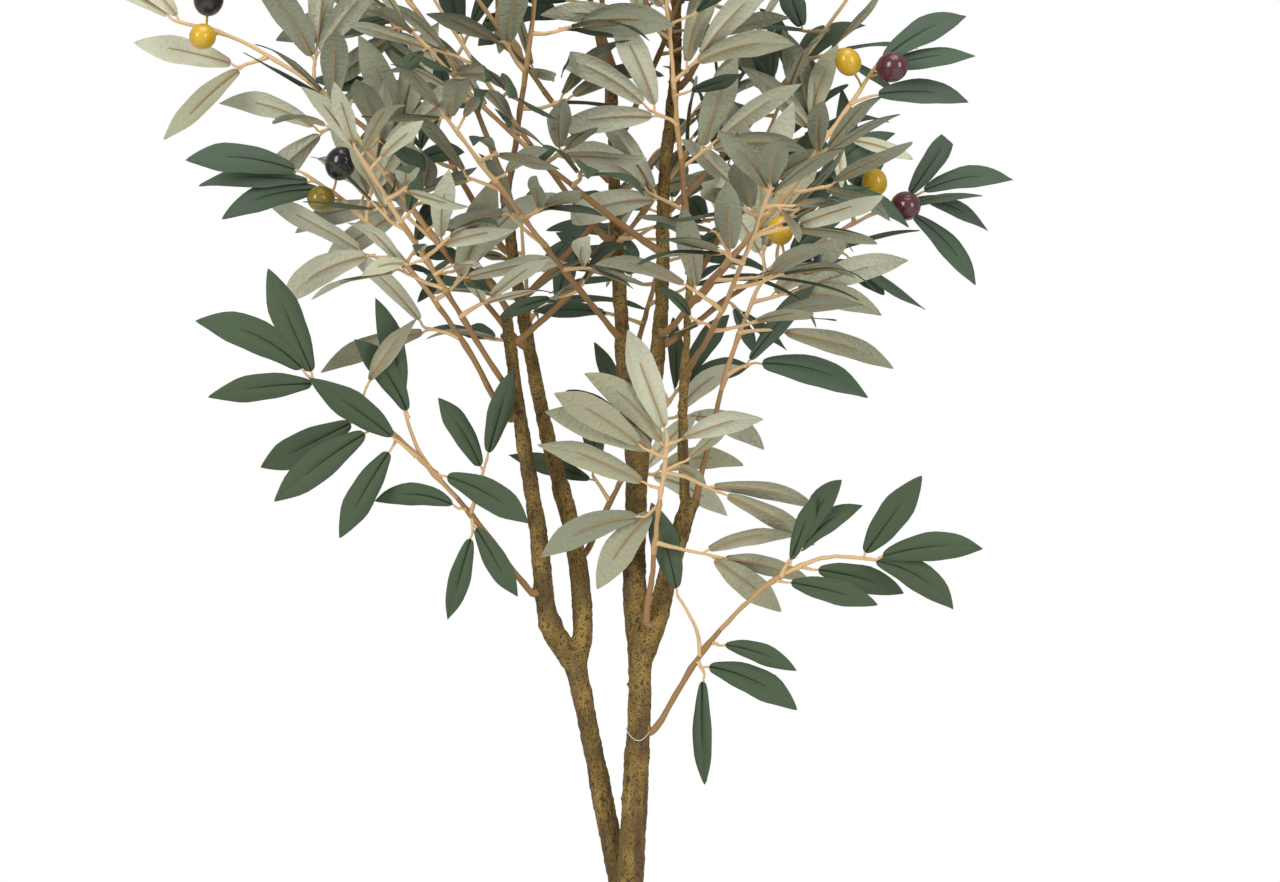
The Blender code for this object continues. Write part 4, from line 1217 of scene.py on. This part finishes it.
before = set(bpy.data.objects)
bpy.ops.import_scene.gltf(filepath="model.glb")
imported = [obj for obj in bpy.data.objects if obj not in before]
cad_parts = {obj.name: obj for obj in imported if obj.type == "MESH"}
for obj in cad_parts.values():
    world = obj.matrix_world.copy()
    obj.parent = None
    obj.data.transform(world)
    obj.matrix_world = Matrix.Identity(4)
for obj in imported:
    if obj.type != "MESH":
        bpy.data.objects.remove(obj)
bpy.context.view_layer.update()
limb_trees = {}
for name in LIMBS:
    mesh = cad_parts[name].data
    limb_trees[name] = search_tree(([v.co.copy() for v in mesh.vertices],
                                    [tuple(p.vertices) for p in mesh.polygons]))

GREENS = ((69, 83, 61), (74, 89, 72), (55, 67, 52))
SAGES = ((159, 158, 131), (184, 184, 160), (136, 138, 116))
# A spray on a twisted wire: the undersides of all its leaves look to the front
TWISTED = "spray_upper_left"
# Leaves with a folded tip as a share of all, and by how many degrees they fold
FOLDED = 0.04
FOLDS = (55, 95)
# The share of leaves whose underside is their spray's own sage
OWN_SAGE = 0.7
# The share of smaller leaves that take the next green
NEXT_GREEN = 0.3
DROOP_SHOWN, DROOP = 0.8, 1.8

leaf_paints = [new_material(f"leaf_green_{k + 1}", c, 0.72, 2.0, 0.22, shine=0.25)
               for k, c in enumerate(GREENS)]
leaf_paints += [new_material(f"leaf_sage_{k + 1}", c, 0.88, 3.0, 1.7, shine=0.15)
                for k, c in enumerate(SAGES)]
leaf_paints.append(new_material("leaf_groove", (44, 55, 37), 0.72, 2.0, 0.15, shine=0.2))
LINE_PAINT = len(leaf_paints) - 1
wire_paints = [
    new_material("wire_tan", (205, 171, 124), 0.55, 1.6, 0.10),
    new_material("wire_mid", (178, 142, 97), 0.62, 1.6, 0.14),
    new_material("wire_brown", (146, 112, 72), 0.70, 1.8, 0.22),
    new_material("leaf_rib", (154, 125, 84), 0.55, 1.4, 0.08),
    new_material("olive_stalk", (178, 146, 58), 0.45, 1.6, 0.08),
]
olive_paints = [
    new_material("olive_" + name, colour, rough, 3.0, depth, gloss=gloss, spread=0.05)
    for name, colour, rough, depth, gloss in (
        ("black", (34, 28, 31), 0.22, 0.02, 0.6), ("green", (122, 104, 24), 0.26, 0.03, 0.5),
        ("purple", (82, 42, 46), 0.24, 0.02, 0.6), ("yellow", (196, 156, 34), 0.28, 0.03, 0.5))
]

crown = all_sprays(limb_trees)
trees = list(limb_trees.values())
for parts in crown.values():
    trees.append(spray_tree(parts))
    trees += [search_tree(ball_hull(centre, radius * OLIVE_ROOM))
              for centre, radius, _, _ in parts.olives]
rng = random.Random(SEED + 1)
groups = {}
olives = Heap()
for index, (name, parts) in enumerate(crown.items()):
    shown = name in SHOWN
    limb = SHOWN[name][0] if shown else "limb_" + name[6]
    leaves, wires, names = groups.setdefault(limb, (Heap(), Heap(), []))
    names.append(name)
    line = parts.rods[0][0]
    size = SHOWN[name][4] if shown else LEAF_SHORT
    front = across((line[-1] - line[0]).normalized(), FRONT if shown else UP)
    # greens, sages and olives are dealt in turn where the tables don't say
    share, green, sage, pair = LOOKS.get(name, (None, index % 3, (index * 2 + 1) % 3, None))
    pair = pair or ((2, 3), (0, 1))[index % 2]
    twigs, more = carry_on(line, share, front, size, rng, list(trees))
    knots = []
    marks = lengths(line)
    for base in [twig[0] for twig, _, _ in parts.rods[1:]] + [a for a, _ in twigs]:
        near = min(range(len(line) - 1), key=lambda k: (
            base - line[k].lerp(line[k + 1], 0.5)).length)
        knots.append((marks[near] + (base - line[near]).length) / marks[-1])
    draw_stem(wires, line, knots, rng)
    for twig, _, _ in parts.rods[1:]:
        if not any((twig[-1] - centre).length < radius * 1.3
                   for centre, radius, _, _ in parts.olives):
            draw_twig(wires, twig[0], twig[-1], TWIG_WIRE, rng)
    for a, b in twigs:
        draw_twig(wires, a, b, FINE_WIRE, rng)
    droop = DROOP_SHOWN if shown else DROOP
    for leaf in every_leaf(parts):
        if name == TWISTED and leaf.normal.y < 0:
            leaf = leaf._replace(normal=-leaf.normal)
        fold = radians(rng.uniform(*FOLDS)) if rng.random() < FOLDED else 0.0
        under = len(GREENS) + (sage if rng.random() < OWN_SAGE else rng.randrange(3))
        draw_leaf(leaves, wires, leaf, way_of(parts, leaf), rng, green, under, droop, fold)
    for leaf in more:
        upper = (green + 1) % 3 if rng.random() < NEXT_GREEN else green
        draw_leaf(leaves, wires, leaf, leaf.along, rng, upper, len(GREENS) + sage, droop)
    for centre, radius, out, k in parts.olives:
        draw_olive(olives, wires, centre, radius, out, pair[k], rng)

pieces = []
for limb, (leaves, wires, names) in groups.items():
    blades = leaves.build("leaves_" + limb, leaf_paints)
    twigs = wires.build("twigs_" + limb, wire_paints, 60)
    pieces += [(blades, names, "leaves"), (twigs, names, "bark")]
fruit = olives.build("olives", olive_paints)
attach(fruit, "root")

bark = new_finish("bark", bark_look)
for name, members in (
    ("bark_left", ("trunk_left", "limb_a", "limb_b")),
    ("bark_right", ("trunk_right", "limb_c", "limb_d", "limb_e", "limb_f")),
):
    pieces.append((bark_skin(name, members, bark, rng), members, "bark"))

# The clear loop that ties a tag to the right trunk: its place on the trunk, its radii across
# and to the front, how far it hangs down in front and swings out there, and its thread
LOOP_AT = 0.70
LOOP_RADII = (9.4, 9.3)
LOOP_DROP = 8.5
LOOP_SWING = 0.06
LOOP_THREAD = 0.3
LOOP_POINTS = 25
loop = Heap()
axis, _ = along(bark_line("trunk_right")[0], LOOP_AT)
ring = []
for k in range(LOOP_POINTS):
    angle = 2 * pi * k / (LOOP_POINTS - 1)
    low = LOOP_DROP * max(0.0, -sin(angle)) ** 2
    spot = Vector((LOOP_RADII[0] * cos(angle), LOOP_RADII[1] * sin(angle) - LOOP_SWING * low,
                   -low))
    ring.append(axis + spot * MM)
tube(loop, ring, [LOOP_THREAD * MM] * LOOP_POINTS, 6, [0])
loop = loop.build("tag_loop", [new_material("nylon", (214, 212, 204), 0.25, 2.0, 0.02)], 50)
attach(loop, "root")

pot = make_pot(new_material("pot_plastic", (44, 44, 46), 0.46, 0.8, 0.05, spread=0.10))
fill = make_fill(new_finish("cement", cement_look))
for piece, names, slot in pieces + [(pot, ["pot"], "pot"), (fill, ["pot_fill"], "fill")]:
    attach(piece, "root")
    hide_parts(*names)

# Floor, light and camera

scene = bpy.context.scene
bpy.ops.mesh.primitive_circle_add(vertices=128, radius=2.6, fill_type="NGON")
floor = bpy.context.object
floor.name = "floor"
floor.data.materials.append(new_finish("floor", lambda tree: {
    "Base Color": (0.86, 0.86, 0.86, 1), "Roughness": 0.9}))

# White behind the tree, and a softer grey as the light that comes from all round
world = scene.world or bpy.data.worlds.new("studio")
scene.world = world
world.use_nodes = True
sky = world.node_tree
seen = add_node(sky, "LightPath", {})["Is Camera Ray"]
level = add_node(sky, "MapRange", {"Value": seen, "To Min": 0.42, "To Max": 1.0})["Result"]
feed(sky, sky.nodes["Background"], {"Color": WHITE, "Strength": level})

for name, place, size, power in (
    ("key", (-1.9, -2.5, 1.9), (1.1, 1.8), 62),
    ("fill", (2.1, -2.3, 1.4), (0.9, 1.8), 42),
    ("top", (0.2, -0.6, 3.2), (1.6, 1.6), 30),
):
    lamp = bpy.data.lights.new(name, "AREA")
    lamp.shape = "RECTANGLE"
    lamp.size, lamp.size_y = size
    lamp.energy = power
    light = add_object(name, lamp)
    light.location = place
    light.rotation_euler = (UP - Vector(place)).to_track_quat("-Z", "Y").to_euler()

# The camera stands 3 m in front of the trunks and looks level
lens = bpy.data.cameras.new("camera")
lens.sensor_fit = "HORIZONTAL"
lens.sensor_width = 36.0
lens.lens = 112.5
lens.clip_end = 50
camera = add_object("camera", lens)
camera.location = (0.006, -3.0, 0.82925)
camera.rotation_euler = (radians(90), 0, 0)
scene.camera = camera
scene.view_settings.view_transform = "Standard"
scene.view_settings.look = "None"
